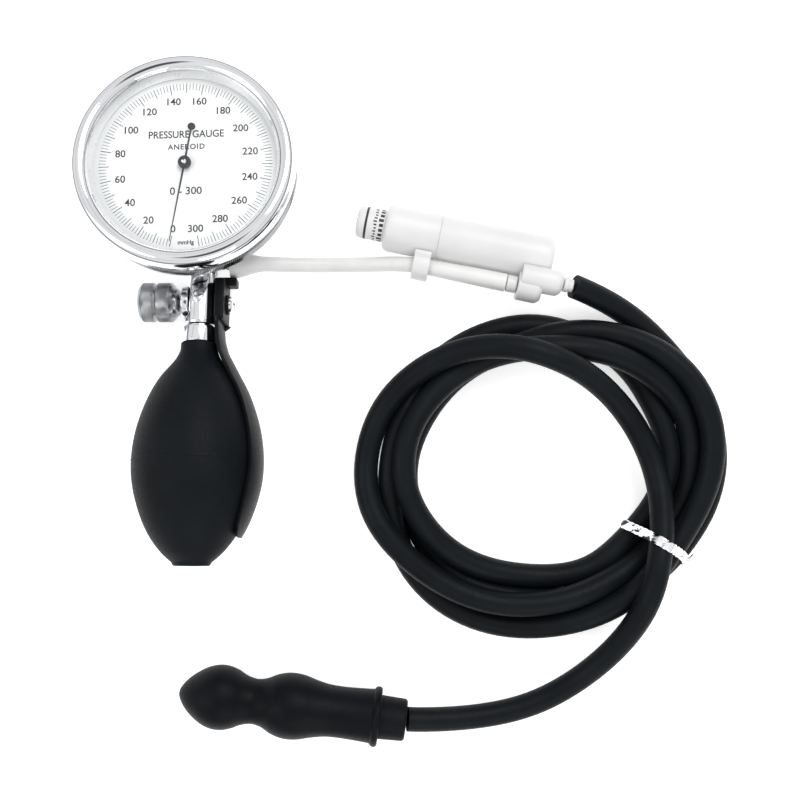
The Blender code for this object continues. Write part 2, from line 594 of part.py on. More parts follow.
# ---------------------------------------------------------------- indicator capsule
# frame: X along the capsule to the rear, Y to its upper side, Z up
CAP = empty("capsule_frame", (CAP_X, CAP_Y, CAP_Z), (0, 0, CAP_TURN), LAYOUT)
ALONG_X = (0, math.radians(90), 0)            # local Z along +X
e = 1.3 * mm
capbody = turned("capsule_body", [
    (0, CAP_REAR), (CAP_R - 0.1 * mm - 2.4 * mm, CAP_REAR), (CAP_R - 0.8 * mm, CAP_REAR - 0.6 * mm),
    (CAP_R - 0.1 * mm, CAP_REAR - 2.2 * mm), (CAP_R - 0.1 * mm, SLEEVE_END + 0.15 * mm),
    (6.6 * mm, SLEEVE_END + 0.15 * mm), (6.6 * mm, SLEEVE_END - 6.0 * mm),
    (5.6 * mm, SLEEVE_END - 6.0 * mm), (5.6 * mm, 20.0 * mm), (0, 20.0 * mm)],
    26, WHITE, CAP, rot=ALONG_X)
sleeve = turned("front_sleeve", [
    (6.95 * mm, SLEEVE_END - 0.15 * mm), (CAP_R, SLEEVE_END - 0.15 * mm),
    (CAP_R, CAP_FRONT + 1.8 * mm), (CAP_R - 0.5 * mm, CAP_FRONT + 0.6 * mm),
    (CAP_R - 1.5 * mm, CAP_FRONT), (5.55 * mm, CAP_FRONT), (5.55 * mm, CAP_FRONT + 3.0 * mm),
    (6.95 * mm, CAP_FRONT + 4.0 * mm)], 26, WHITE, CAP, rot=ALONG_X, closed=True)
CLIP_X = -14.3 * mm
TUBE_AT_CLIP = (-10.6 * mm, 2.0 * mm)         # y and z (over the capsule axis) of the thin tube


def clip_outline():
    """Strap from the sleeve's flank over the thin tube and round its far side (y, z)."""
    cy, cz = TUBE_AT_CLIP
    r_in, r_out = THIN_D / 2 + 1.0 * mm, THIN_D / 2 + 2.3 * mm
    out, inn = [], []
    for i in range(11):
        a = math.radians(62 + (258 - 62) * i / 10.0)
        out.append((cy + r_out * math.cos(a), cz + r_out * math.sin(a)))
        inn.append((cy + r_in * math.cos(a), cz + r_in * math.sin(a)))
    start = [(-4.6 * mm, 5.6 * mm), (-4.6 * mm, 6.75 * mm)]
    return start + out + inn[::-1] + [(-7.0 * mm, 2.6 * mm)]


clip = flat_plate("cut_clip", [clip_outline()], 5.4 * mm, WHITE, CAP, (CLIP_X, 0, 0),
                  (math.radians(90), 0, math.radians(90)))
clip = curve_to_mesh(clip)
SET.objects.unlink(clip)
CUT.objects.link(clip)
join(sleeve, clip)
cut(sleeve, rod("cut_sleeve_bore", 6.95 * mm, CAP_FRONT + 4.0 * mm, SLEEVE_END + 4 * mm, 32, None,
                CAP, rot=ALONG_X, coll=CUT))

plunger_axis = empty("plunger_axis", (CAP_FRONT, 0, 0), (0, math.radians(-90), 0), CAP)
turned("indicator_plunger", [
    (0, PLUNGER_OUT), (PLUNGER_R - 1.2 * mm, PLUNGER_OUT), (PLUNGER_R, PLUNGER_OUT - 1.0 * mm),
    (PLUNGER_R, 6.6 * mm), (PLUNGER_R - 0.25 * mm, 6.5 * mm), (PLUNGER_R - 0.25 * mm, 5.8 * mm),
    (PLUNGER_R, 5.7 * mm), (PLUNGER_R, -13.6 * mm), (1.2 * mm, -13.6 * mm), (1.2 * mm, -17.0 * mm),
    (0, -17.0 * mm)], 22, WHITE, plunger_axis)
cu = bpy.data.curves.new("plunger_spring", 'CURVE')
cu.dimensions = '3D'
cu.bevel_depth = 0.35 * mm
cu.bevel_resolution = 0
cu.use_fill_caps = True
sp = cu.splines.new('POLY')
COILS, PER = 7, 8
sp.points.add(COILS * PER)
x0, x1 = CAP_FRONT + 14.2 * mm, 19.2 * mm
for i in range(COILS * PER + 1):
    a = 2 * math.pi * i / PER
    sp.points[i].co = (x0 + (x1 - x0) * i / (COILS * PER), 3.6 * mm * math.cos(a),
                       3.6 * mm * math.sin(a), 1.0)
finish(bpy.data.objects.new("plunger_spring", cu), STEEL, CAP)

# rear manifold: hose spigot over a tube collar block, hugging the capsule's flank
SP_Z = SPIGOT_Z - CAP_Z
manifold = turned("manifold_block", [
    (0, 31.7 * mm), (2.3 * mm, 31.7 * mm), (3.7 * mm, 31.0 * mm), (SPIGOT_R, 29.6 * mm),
    (SPIGOT_R, 18.0 * mm), (0, 18.0 * mm)], 26, WHITE, CAP, (0, SPIGOT_P, SP_Z), ALONG_X)
collar = turned("cut_collar", [
    (0, 25.4 * mm), (3.7 * mm, 25.4 * mm), (4.75 * mm, 23.9 * mm), (4.75 * mm, 17.4 * mm),
    (0, 17.4 * mm)], 26, None, CAP, (0, CONN_P, CONN_Z - CAP_Z), ALONG_X, coll=CUT)
join(manifold, collar)
cut(manifold, rod("cut_manifold_seat", CAP_R + 0.2 * mm, 10 * mm, 40 * mm, 40, None, CAP,
                  rot=ALONG_X, coll=CUT))
turned("tube_connector", [
    (0, 17.1 * mm), (2.65 * mm, 17.1 * mm), (2.65 * mm, 13.9 * mm), (0, 13.9 * mm)], 22, WHITE,
    CAP, (0, CONN_P, CONN_Z - CAP_Z), ALONG_X)
turned("hose_barb", [
    (0, 35.0 * mm), (2.0 * mm, 35.0 * mm), (2.45 * mm, 33.4 * mm), (2.45 * mm, 32.0 * mm),
    (0, 32.0 * mm)], 22, WHITE, CAP, (0, SPIGOT_P, SP_Z), ALONG_X)

# ---------------------------------------------------------------- tubes and hose
cA, sA = math.cos(CAP_TURN), math.sin(CAP_TURN)


def cap_point(x, y, z):
    """A point of the capsule frame in the layout."""
    return (CAP_X + x * cA - y * sA, CAP_Y + x * sA + y * cA, CAP_Z + z)


tube_start = (UNIT_X + 9.0 * mm, UNIT_Y + OUTLET_V * math.cos(UNIT_TILT) + OUTLET_W * math.sin(UNIT_TILT),
              UNIT_Z - OUTLET_V * math.sin(UNIT_TILT) + OUTLET_W * math.cos(UNIT_TILT))


def thin_route():
    x, y, z = tube_start
    end = cap_point(13.6 * mm, CONN_P, CONN_Z - CAP_Z)
    before = cap_point(5.0 * mm, CONN_P, CONN_Z - CAP_Z)
    at_clip = cap_point(CLIP_X, TUBE_AT_CLIP[0], TUBE_AT_CLIP[1])
    mid = cap_point(-5.0 * mm, -10.65 * mm, 3.0 * mm)
    return [(x, y, z), (x + 5 * mm, y, z - 0.1 * mm), (-43 * mm, 44.7 * mm, 6.0 * mm),
            (-34 * mm, 44.7 * mm, 4.0 * mm), (-24 * mm, 44.8 * mm, 2.9 * mm),
            (-12 * mm, 44.8 * mm, 4.0 * mm), (-1 * mm, 44.5 * mm, 7.6 * mm),
            at_clip, mid, before, end]


def flare(s):
    """The thin tube swells over its barb for the first centimetre."""
    t = min(max((s - 1.0 * mm) / (10.5 * mm), 0.0), 1.0)
    return 1.88 - 0.88 * (t * t * (3 - 2 * t)) ** 0.8


tube("thin_tube", thin_route(), THIN_D, TUBEW, 4.0 * mm, 2, flare)

lead_start = cap_point(35.3 * mm, SPIGOT_P, SP_Z)
lead_next = cap_point(41.0 * mm, SPIGOT_P + 0.2 * mm, SP_Z - 0.5 * mm)
tube("hose_lead", [lead_start, lead_next, (69.3 * mm, 31.6 * mm, 8.8 * mm),
                   (76.2 * mm, 27.8 * mm, 6.3 * mm), (82.0 * mm, 22.2 * mm, 4.8 * mm)], HOSE_D, HOSE, 6.0 * mm, 3)


def coil_mesh():
    """A hank-like ring between two ellipses with a rounded section."""
    bpy.ops.mesh.primitive_torus_add(major_radius=1.0, minor_radius=0.25,
                                     major_segments=36, minor_segments=10)
    ob = bpy.context.object
    me = ob.data
    zc, hz = (COIL_Z0 + COIL_Z1) / 2, (COIL_Z1 - COIL_Z0) / 2

    def bulge(c):
        return math.copysign(abs(c) ** 0.72, c) if abs(c) > 1e-6 else 0.0
    for v in me.vertices:
        x, y, z = v.co
        phi = math.atan2(y, x)
        psi = math.atan2(z, math.hypot(x, y) - 1.0)
        v.co = coil_point(phi, bulge(math.cos(psi)), zc + hz * bulge(math.sin(psi)))
    bpy.data.objects.remove(ob, do_unlink=True)
    me.name = "hose_coil"
    return me


def coil_point(phi, across, z):
    ox = COIL_OUT[0] + COIL_OUT[2] * math.cos(phi)
    oy = COIL_OUT[1] + COIL_OUT[3] * math.sin(phi)
    ix = COIL_IN[0] + COIL_IN[2] * math.cos(phi)
    iy = COIL_IN[1] + COIL_IN[3] * math.sin(phi)
    t = 0.5 + 0.5 * across
    return Vector((ix + (ox - ix) * t, iy + (oy - iy) * t, z))


coil_me = coil_mesh()
coil_me.materials.clear()
finish(bpy.data.objects.new("hose_coil", coil_me), HOSE, LAYOUT)

tail_end = (PROBE_X + 74.7 * mm * math.cos(PROBE_TURN), PROBE_Y + 74.7 * mm * math.sin(PROBE_TURN),
            PROBE_Z - 1.0 * mm)
tail_before = (PROBE_X + 82.0 * mm * math.cos(PROBE_TURN), PROBE_Y + 82.0 * mm * math.sin(PROBE_TURN),
               PROBE_Z - 1.3 * mm)
tube("hose_tail", [(74.0 * mm, -78.6 * mm, 4.6 * mm), (62.5 * mm, -89.5 * mm, 4.2 * mm),
                   (52.5 * mm, -96.3 * mm, 4.1 * mm), (42.0 * mm, -101.0 * mm, 4.1 * mm),
                   (31.0 * mm, -103.9 * mm, 4.4 * mm), (20.5 * mm, -105.2 * mm, 6.0 * mm),
                   tail_before, tail_end], HOSE_D, HOSE, 8.0 * mm, 3)


def tie_outline(grow):
    a = coil_point(TIE_ANGLE, -1.0, 0)
    b = coil_point(TIE_ANGLE, 1.0, 0)
    hw = (b - a).length / 2 + grow
    hz = (COIL_Z1 - COIL_Z0) / 2 + grow
    pts = []
    for i in range(28):
        t = 2 * math.pi * i / 28
        c, s = math.cos(t), math.sin(t)
        pts.append((hw * math.copysign(abs(c) ** 0.62, c), hz * math.copysign(abs(s) ** 0.62, s)))
    return pts


tie_mid = (coil_point(TIE_ANGLE, -1.0, 0) + coil_point(TIE_ANGLE, 1.0, 0)) / 2
tie_dir = coil_point(TIE_ANGLE, 1.0, 0) - coil_point(TIE_ANGLE, -1.0, 0)
TIE_GAP = 0.25 * mm
flat_plate("twist_tie", [tie_outline(TIE_GAP + TIE_T), tie_outline(TIE_GAP)], TIE_WIDTH, STEEL,
           LAYOUT, (tie_mid.x, tie_mid.y, (COIL_Z0 + COIL_Z1) / 2),
           (math.radians(90), 0, math.atan2(tie_dir.y, tie_dir.x)))

# ---------------------------------------------------------------- pressure probe
# frame: X from the tip to the hose, Z up
PRB = empty("probe_frame", (PROBE_X, PROBE_Y, PROBE_Z), (0, 0, PROBE_TURN), LAYOUT)
PROBE_PROFILE = [  # distance from the tip, outer radius
    (0.0, 0.0), (0.3, 2.4), (1.4, 4.9), (4.2, 7.6), (9.0, 9.7), (13.5, 10.3),
    (18.0, 9.4), (21.0, 7.9), (24.5, 7.05), (27.5, 7.6), (32.0, 9.8),
    (36.8, 10.45), (41.0, 9.9), (46.5, 8.4), (51.0, 8.0),
    (60.5, 8.4), (63.2, 8.6), (63.6, 9.3), (64.4, 9.5), (65.5, 9.1)]
out_pts = [(r * mm, x * mm) for x, r in PROBE_PROFILE]
in_pts = [(7.25 * mm, 65.5 * mm), (7.0 * mm, 60.0 * mm), (6.3 * mm, 50.0 * mm),
          (6.3 * mm, 42.0 * mm), (5.3 * mm, 27.0 * mm), (5.3 * mm, 20.0 * mm), (5.3 * mm, 9.0 * mm),
          (3.4 * mm, 7.0 * mm), (0, 6.6 * mm)]
sleeve_pts = (out_pts + in_pts)[::-1]
turned("probe_sleeve", sleeve_pts, 20, PROBE, PRB, rot=ALONG_X)
turned("probe_core", [
    (1.6 * mm, 63.5 * mm), (6.6 * mm, 63.5 * mm), (6.6 * mm, 61.0 * mm), (5.9 * mm, 50.0 * mm),
    (4.6 * mm, 30.0 * mm), (4.6 * mm, 10.2 * mm), (3.6 * mm, 9.2 * mm), (1.6 * mm, 9.2 * mm)], 16,
    GREYPL, PRB, rot=ALONG_X, closed=True)
turned("probe_collar", [
    (1.9 * mm, 74.0 * mm), (6.1 * mm, 74.0 * mm), (6.6 * mm, 73.4 * mm), (6.9 * mm, 66.4 * mm),
    (6.9 * mm, 63.8 * mm), (1.9 * mm, 63.8 * mm)], 20, BLACKRUB, PRB, rot=ALONG_X, closed=True)
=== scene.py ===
"""Looks for the hand-held aneroid pressure gauge set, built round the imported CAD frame."""
import math
import random
import bpy
import bmesh
import numpy as np
from mathutils import Matrix, Vector

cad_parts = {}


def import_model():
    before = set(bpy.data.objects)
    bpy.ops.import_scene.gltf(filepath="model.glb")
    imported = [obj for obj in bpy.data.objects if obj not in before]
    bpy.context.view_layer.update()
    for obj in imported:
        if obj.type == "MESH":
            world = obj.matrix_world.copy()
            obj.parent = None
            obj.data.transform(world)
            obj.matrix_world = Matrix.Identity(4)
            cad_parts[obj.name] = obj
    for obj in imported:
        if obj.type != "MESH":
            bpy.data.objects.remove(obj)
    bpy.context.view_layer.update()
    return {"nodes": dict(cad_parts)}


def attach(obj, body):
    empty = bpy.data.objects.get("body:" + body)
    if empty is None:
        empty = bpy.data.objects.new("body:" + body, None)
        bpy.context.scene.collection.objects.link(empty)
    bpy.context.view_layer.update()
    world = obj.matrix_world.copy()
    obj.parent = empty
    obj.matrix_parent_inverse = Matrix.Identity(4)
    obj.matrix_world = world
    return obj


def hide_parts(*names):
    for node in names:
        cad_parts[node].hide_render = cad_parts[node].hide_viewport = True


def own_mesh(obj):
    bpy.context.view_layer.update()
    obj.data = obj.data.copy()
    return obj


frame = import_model()
NODES = frame["nodes"]
random.seed(7)
RNG = np.random.RandomState(11)
mm = 0.001

# ------------------------------------------------------------------ frames, as in the CAD
SX, SY = 23.07, 1.58
TILT = math.radians(10.2)
UX, UY, UZ = -64.5, 70.5, 3.85
GU = -2.6
CAPX, CAPY, CAPZ, CAPT = 22.89, 51.12, 7.95, math.radians(-11.4)
PRX, PRY, PRZ, PRT = -71.6, -94.7, 10.5, math.radians(-7.1)
NECK_V = -53.45
EYE = 335.0


def T(x, y, z):
    return Matrix.Translation((x * mm, y * mm, z * mm))


LAY = T(SX, SY, 0)
UNIT = LAY @ T(UX, UY, UZ) @ Matrix.Rotation(-TILT, 4, 'X')
DIAL = UNIT @ T(GU, 0, 0)
ALONG_V = Matrix.Rotation(math.radians(-90), 4, 'X')
OUT_LEFT = Matrix.Rotation(math.radians(-90), 4, 'Y')
OUT_RIGHT = Matrix.Rotation(math.radians(90), 4, 'Y')
CAP = LAY @ T(CAPX, CAPY, CAPZ) @ Matrix.Rotation(CAPT, 4, 'Z')
PRB = LAY @ T(PRX, PRY, PRZ) @ Matrix.Rotation(PRT, 4, 'Z')
BULB = UNIT @ T(0, NECK_V, 0) @ ALONG_V 
ALONG_X = OUT_RIGHT
VALVE = UNIT @ T(0, -39.6, 0) @ OUT_LEFT
SCREW = UNIT @ T(0, -40.4, 0) @ OUT_RIGHT

# ------------------------------------------------------------------ camera first
cam_data = bpy.data.cameras.new("camera")
cam = bpy.data.objects.new("camera", cam_data)
bpy.context.scene.collection.objects.link(cam)
cam.location = (SX * mm, SY * mm, EYE * mm)
cam.rotation_euler = (0, 0, 0)
cam_data.lens = 45.0
cam_data.sensor_width = 36.0
cam_data.clip_start = 0.01
cam_data.clip_end = 10.0
bpy.context.scene.camera = cam


# ------------------------------------------------------------------ materials
class Nodes:
    """Short hand for building a material's node tree."""

    def __init__(self, name):
        self.m = bpy.data.materials.new(name)
        self.m.use_nodes = True
        self.t = self.m.node_tree
        self.b = self.t.nodes["Principled BSDF"]
        self.co = self.t.nodes.new("ShaderNodeTexCoord").outputs["Object"]

    def node(self, kind, **values):
        n = self.t.nodes.new(kind)
        for k, v in values.items():
            if k in n.inputs:
                n.inputs[k].default_value = v
            else:
                setattr(n, k, v)
        return n

    def link(self, a, b):
        self.t.links.new(a, b)

    def noise(self, scale, detail=3.0, rough=0.5, stretch=None):
        n = self.node("ShaderNodeTexNoise")
        n.inputs["Scale"].default_value = scale
        n.inputs["Detail"].default_value = detail
        n.inputs["Roughness"].default_value = rough
        if stretch:
            m = self.node("ShaderNodeMapping")
            m.inputs["Scale"].default_value = stretch
            self.link(self.co, m.inputs["Vector"])
            self.link(m.outputs["Vector"], n.inputs["Vector"])
        else:
            self.link(self.co, n.inputs["Vector"])
        return n.outputs["Fac"]

    def ramp(self, fac, stops):
        r = self.node("ShaderNodeValToRGB")
        e = r.color_ramp.elements
        while len(e) < len(stops):
            e.new(0.5)
        for s, (p, c) in zip(e, stops):
            s.position = p
            s.color = (*c, 1.0) if len(c) == 3 else c
        self.link(fac, r.inputs["Fac"])
        return r.outputs["Color"]

    def rng(self, fac, lo, hi, a=0.3, b=0.7):
        m = self.node("ShaderNodeMapRange")
        m.inputs["From Min"].default_value = a
        m.inputs["From Max"].default_value = b
        m.inputs["To Min"].default_value = lo
        m.inputs["To Max"].default_value = hi
        self.link(fac, m.inputs["Value"])
        return m.outputs["Result"]

    def bump(self, height, strength, distance, before=None):
        n = self.node("ShaderNodeBump")
        n.inputs["Strength"].default_value = strength
        n.inputs["Distance"].default_value = distance
        self.link(height, n.inputs["Height"])
        if before is not None:
            self.link(before, n.inputs["Normal"])
        return n.outputs["Normal"]


def surface(name, dark, light, rough, metal=0.0, grain=900.0, depth=0.00002, strength=0.35,
            patch=60.0, spec=0.5, coat=0.0, stretch=None, sheen=0.0, fine=None):
    """Colour that drifts between two tones, uneven gloss and a fine surface grain."""
    n = Nodes(name)
    big = n.noise(patch, 4.0, 0.6)
    small = n.noise(grain, 3.0, 0.6, stretch)
    n.link(n.ramp(big, [(0.3, dark), (0.7, light)]), n.b.inputs["Base Color"])
    n.link(n.rng(small, rough[0], rough[1]), n.b.inputs["Roughness"])
    n.b.inputs["Metallic"].default_value = metal
    n.b.inputs["Specular IOR Level"].default_value = spec
    if coat:
        n.b.inputs["Coat Weight"].default_value = coat
        n.b.inputs["Coat Roughness"].default_value = 0.12
    if sheen:
        n.b.inputs["Sheen Weight"].default_value = sheen
        n.b.inputs["Sheen Roughness"].default_value = 0.4
    nrm = n.bump(small, strength, depth)
    if fine:
        nrm = n.bump(n.noise(fine, 2.0, 0.5), 0.3, depth * 0.5, nrm)
    n.link(nrm, n.b.inputs["Normal"])
    return n.m


M = {
    "chrome": surface("chrome", (0.80, 0.81, 0.83), (0.90, 0.91, 0.92), (0.035, 0.09), 1.0,
                      grain=350, depth=0.000006, strength=0.12, patch=40),
    "chrome_knurl": surface("chrome_knurl", (0.26, 0.265, 0.27), (0.40, 0.41, 0.42), (0.10, 0.22), 1.0,
                            grain=2200, depth=0.00001, strength=0.3, patch=120),
    "steel": surface("steel", (0.50, 0.50, 0.52), (0.64, 0.64, 0.66), (0.22, 0.38), 1.0,
                     grain=900, depth=0.00001, strength=0.3, stretch=(1.0, 1.0, 6.0)),
    "brass": surface("brass", (0.56, 0.40, 0.16), (0.74, 0.56, 0.27), (0.20, 0.38), 1.0,
                     grain=1100, depth=0.00001, strength=0.3),
    "dark_steel": surface("dark_steel", (0.30, 0.31, 0.33), (0.42, 0.43, 0.45), (0.25, 0.4), 1.0,
                          grain=1400, depth=0.000008, strength=0.3),
    "bulb_rubber": surface("bulb_rubber", (0.0030, 0.0042, 0.0056), (0.0062, 0.0080, 0.0098), (0.46, 0.64),
                           grain=1500, depth=0.00003, strength=0.45, patch=45, spec=0.09,
                           fine=5200),
    "hose_rubber": surface("hose_rubber", (0.0034, 0.0046, 0.0060), (0.0072, 0.0092, 0.0110), (0.38, 0.56),
                           grain=1100, depth=0.00003, strength=0.4, patch=55, spec=0.09,
                           fine=4200),
    "probe_rubber": surface("probe_rubber", (0.0020, 0.0028, 0.0040), (0.0042, 0.0056, 0.0074), (0.38, 0.54),
                            grain=1300, depth=0.00003, strength=0.4, patch=50, spec=0.08,
                            fine=4600),
    "guard_black": surface("guard_black", (0.0022, 0.0028, 0.0036), (0.0046, 0.0056, 0.0070), (0.34, 0.50),
                           grain=1300, depth=0.00002, strength=0.3, patch=70, spec=0.12),
    "white_plastic": surface("white_plastic", (0.65, 0.65, 0.645), (0.70, 0.70, 0.695), (0.30, 0.42),
                             grain=700, depth=0.00001, strength=0.22, patch=50, spec=0.36),
    "tube_white": surface("tube_white", (0.66, 0.66, 0.65), (0.73, 0.73, 0.72), (0.34, 0.48),
                          grain=800, depth=0.00002, strength=0.3, patch=90, spec=0.4),
    "dial_white": surface("dial_white", (0.94, 0.94, 0.94), (0.97, 0.97, 0.97), (0.45, 0.6),
                          grain=1500, depth=0.000006, strength=0.15, patch=35),
    "flange_grey": surface("flange_grey", (0.80, 0.80, 0.80), (0.88, 0.88, 0.88), (0.25, 0.38), 0.15,
                           grain=900, depth=0.000008, strength=0.2),
    "print_black": surface("print_black", (0.012, 0.012, 0.014), (0.028, 0.028, 0.03), (0.4, 0.55),
                           grain=2500, depth=0.000004, strength=0.2, patch=200),
    "grey_plastic": surface("grey_plastic", (0.32, 0.33, 0.34), (0.42, 0.43, 0.44), (0.35, 0.5),
                            grain=900, depth=0.00001, strength=0.3),
    "spring_steel": surface("spring_steel", (0.42, 0.43, 0.46), (0.56, 0.57, 0.60), (0.2, 0.34), 1.0,
                            grain=1800, depth=0.000006, strength=0.3),
    "foil": surface("foil", (0.62, 0.63, 0.65), (0.88, 0.89, 0.90), (0.10, 0.30), 1.0,
                    grain=420, depth=0.00025, strength=0.9, patch=260),
}


def glass_material():
    n = Nodes("gauge_window")
    n.t.nodes.remove(n.b)
    clear = n.node("ShaderNodeBsdfTransparent")
    clear.inputs["Color"].default_value = (0.985, 0.99, 0.99, 1)
    gloss = n.node("ShaderNodeBsdfGlossy")
    gloss.inputs["Color"].default_value = (1, 1, 1, 1)
    smear = n.noise(90, 3.0, 0.5)
    n.link(n.rng(smear, 0.012, 0.05), gloss.inputs["Roughness"])
    fres = n.node("ShaderNodeFresnel")
    fres.inputs["IOR"].default_value = 1.45
    mix = n.node("ShaderNodeMixShader")
    geo = n.node("ShaderNodeNewGeometry")       # the slab's inner faces only let light through
    front = n.node("ShaderNodeMath")
    front.operation = 'SUBTRACT'
    front.inputs[0].default_value = 1.0
    n.link(geo.outputs["Backfacing"], front.inputs[1])
    fac = n.node("ShaderNodeMath")
    fac.operation = 'MULTIPLY'
    n.link(fres.outputs["Fac"], fac.inputs[0])
    n.link(front.outputs[0], fac.inputs[1])
    n.link(fac.outputs[0], mix.inputs["Fac"])
    n.link(clear.outputs["BSDF"], mix.inputs[1])
    n.link(gloss.outputs["BSDF"], mix.inputs[2])
    n.link(mix.outputs["Shader"], n.t.nodes["Material Output"].inputs["Surface"])
    return n.m


M["glass"] = glass_material()


def foil_material():
    """Crumpled metal foil: mirror facets, with a few near-black patches painted into the colour as painted
    reflection of the dark hose and painted shade in the folds.
    """
    n = Nodes("crumpled_foil_painted_reflection")
    fold_bump_and_painted_reflection = n.noise(260.0, 2.0, 0.45, (1.0, 2.2, 1.0))
    # the near-black stop of this ramp is painted reflection and painted shade, not a colour of the foil; the
    # same noise also drives the real crumple bump below
    n.link(n.ramp(fold_bump_and_painted_reflection, [(0.40, (0.02, 0.022, 0.025)), (0.455, (0.95, 0.95, 0.96))]),
           n.b.inputs["Base Color"])
    n.link(n.rng(n.noise(900.0, 3.0, 0.6), 0.12, 0.34), n.b.inputs["Roughness"])
    n.b.inputs["Metallic"].default_value = 0.85
    n.link(n.bump(fold_bump_and_painted_reflection, 0.8, 0.0003), n.b.inputs["Normal"])
    return n.m


M["foil"] = foil_material()

CAD_LOOK = {
    "bezel_ring": "chrome", "knurled_ring": "chrome_knurl", "gauge_case": "steel",
    "case_back": "steel", "gauge_glass": "glass", "inner_flange": "flange_grey",
    "dial_plate": "dial_white", "gauge_stem": "brass", "pressure_diaphragm": "brass",
    "diaphragm_post": "brass", "movement_frame": "brass", "sector_gear": "brass",
    "pinion_staff": "dark_steel", "pointer": "print_black", "hairspring": "spring_steel",
    "valve_body": "chrome", "outlet_barb": "chrome", "bulb_ferrule": "chrome",
    "check_valve_ball": "steel", "valve_flange": "chrome", "valve_spindle": "steel",
    "release_knob": "chrome_knurl", "squeeze_bulb": "bulb_rubber", "inlet_valve": "steel",
    "inlet_ball": "steel", "hand_guard": "guard_black", "guard_screw": "chrome",
    "capsule_body": "white_plastic", "front_sleeve": "white_plastic",
    "indicator_plunger": "white_plastic", "plunger_spring": "spring_steel",
    "manifold_block": "white_plastic", "tube_connector": "white_plastic",
    "hose_barb": "white_plastic", "thin_tube": "tube_white", "hose_lead": "hose_rubber",
    "hose_coil": "hose_rubber", "hose_tail": "hose_rubber", "twist_tie": "foil",
    "probe_sleeve": "probe_rubber", "probe_core": "grey_plastic", "probe_collar": "bulb_rubber",
}
for name, ob in NODES.items():
    ob.data.materials.clear()
    ob.data.materials.append(M[CAD_LOOK[name]])


# ------------------------------------------------------------------ geometry helpers
def piece(name, me, mat, body="set_body", replaces=(), slot=None, sharp=38):
    ob = bpy.data.objects.new(name, me)
    bpy.context.scene.collection.objects.link(ob)
    if mat:
        me.materials.clear()
        me.materials.append(M[mat])
    if me.polygons:
        me.polygons.foreach_set("use_smooth", [True] * len(me.polygons))
        if sharp:
            me.set_sharp_from_angle(angle=math.radians(sharp))
    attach(ob, body)
    if replaces:
        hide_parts(*replaces)
    ob if (slot or replaces) else None
    return ob


def fillet(pts, radius, seg=4, closed=False):
    """Round the corners of an (r, z) profile in mm."""
    n = len(pts)
    out = []
    for i, p in enumerate(pts):
        if not closed and i in (0, n - 1):
            out.append(tuple(p))
            continue
        a, b, c = Vector(pts[i - 1]), Vector(p), Vector(pts[(i + 1) % n])
        u, v = a - b, c - b
        if u.length < 1e-6 or v.length < 1e-6:
            continue
        ang = u.angle(v, math.pi)
        if ang > math.radians(168):
            out.append(tuple(p))
            continue
        rad = radius
        d = rad / math.tan(ang / 2)
        lim = 0.45 * min(u.length, v.length)
        if d > lim:
            d = lim
        s, e = b + u.normalized() * d, b + v.normalized() * d
        for k in range(seg + 1):
            t = k / seg
            q = s * (1 - t) ** 2 + b * 2 * t * (1 - t) + e * t * t
            out.append((q.x, q.y))
    return out


def curve_pts(pts, per=6, closed=False):
    """A smooth curve through (a, b) points, with roughly centripetal tangents."""
    P = [Vector(p) for p in pts]
    n = len(P)
    out = []
    rng = range(n if closed else n - 1)
    for i in rng:
        p1, p2 = P[i], P[(i + 1) % n]
        p0 = P[i - 1] if (closed or i > 0) else p1 * 2 - p2
        p3 = P[(i + 2) % n] if (closed or i + 2 < n) else p2 * 2 - p1
        d0 = max((p1 - p0).length, 1e-6) ** 0.5
        d1 = max((p2 - p1).length, 1e-6) ** 0.5
        d2 = max((p3 - p2).length, 1e-6) ** 0.5
        m1 = ((p2 - p1) / d1 - (p2 - p0) / (d0 + d1) + (p1 - p0) / d0) * d1
        m2 = ((p3 - p2) / d2 - (p3 - p1) / (d1 + d2) + (p2 - p1) / d1) * d1
        for k in range(per):
            t = k / per
            out.append(p1 * (2 * t ** 3 - 3 * t * t + 1) + m1 * (t ** 3 - 2 * t * t + t)
                       + p2 * (-2 * t ** 3 + 3 * t * t) + m2 * (t ** 3 - t * t))
    if not closed:
        out.append(P[-1])
    return [tuple(p) for p in out]


def lathe_bm(bm, pts, steps, mat4, closed=False, radius=None):
    """Turn an (r, z) profile in mm; radius(r, z, angle) may shape it."""
    rows = []
    for r, z in pts:
        if abs(r) < 1e-6:
            rows.append([bm.verts.new(mat4 @ Vector((0, 0, z * mm)))])
        else:
            row = []
            for k in range(steps):
                a = 2 * math.pi * k / steps
                rr = radius(r, z, a) if radius else r
                row.append(bm.verts.new(mat4 @ Vector((rr * mm * math.cos(a), rr * mm * math.sin(a),
                                                       z * mm))))
            rows.append(row)
    pairs = list(zip(rows, rows[1:])) + ([(rows[-1], rows[0])] if closed else [])
    for a, b in pairs:
        for k in range(steps):
            j = (k + 1) % steps
            if len(a) == 1 and len(b) == 1:
                continue
            if len(a) == 1:
                bm.faces.new((a[0], b[k], b[j]))
            elif len(b) == 1:
                bm.faces.new((a[k], b[0], a[j]))
            else:
                bm.faces.new((a[k], b[k], b[j], a[j]))


def to_mesh(name, bm):
    bmesh.ops.recalc_face_normals(bm, faces=bm.faces)
    me = bpy.data.meshes.new(name)
    bm.to_mesh(me)
    bm.free()
    return me


def lathe(name, pts, steps, mat4, mat, body="set_body", replaces=(), closed=False, radius=None,
          slot=None, sharp=38):
    bm = bmesh.new()
    lathe_bm(bm, pts, steps, mat4, closed, radius)
    return piece(name, to_mesh(name, bm), mat, body, replaces, slot, sharp)


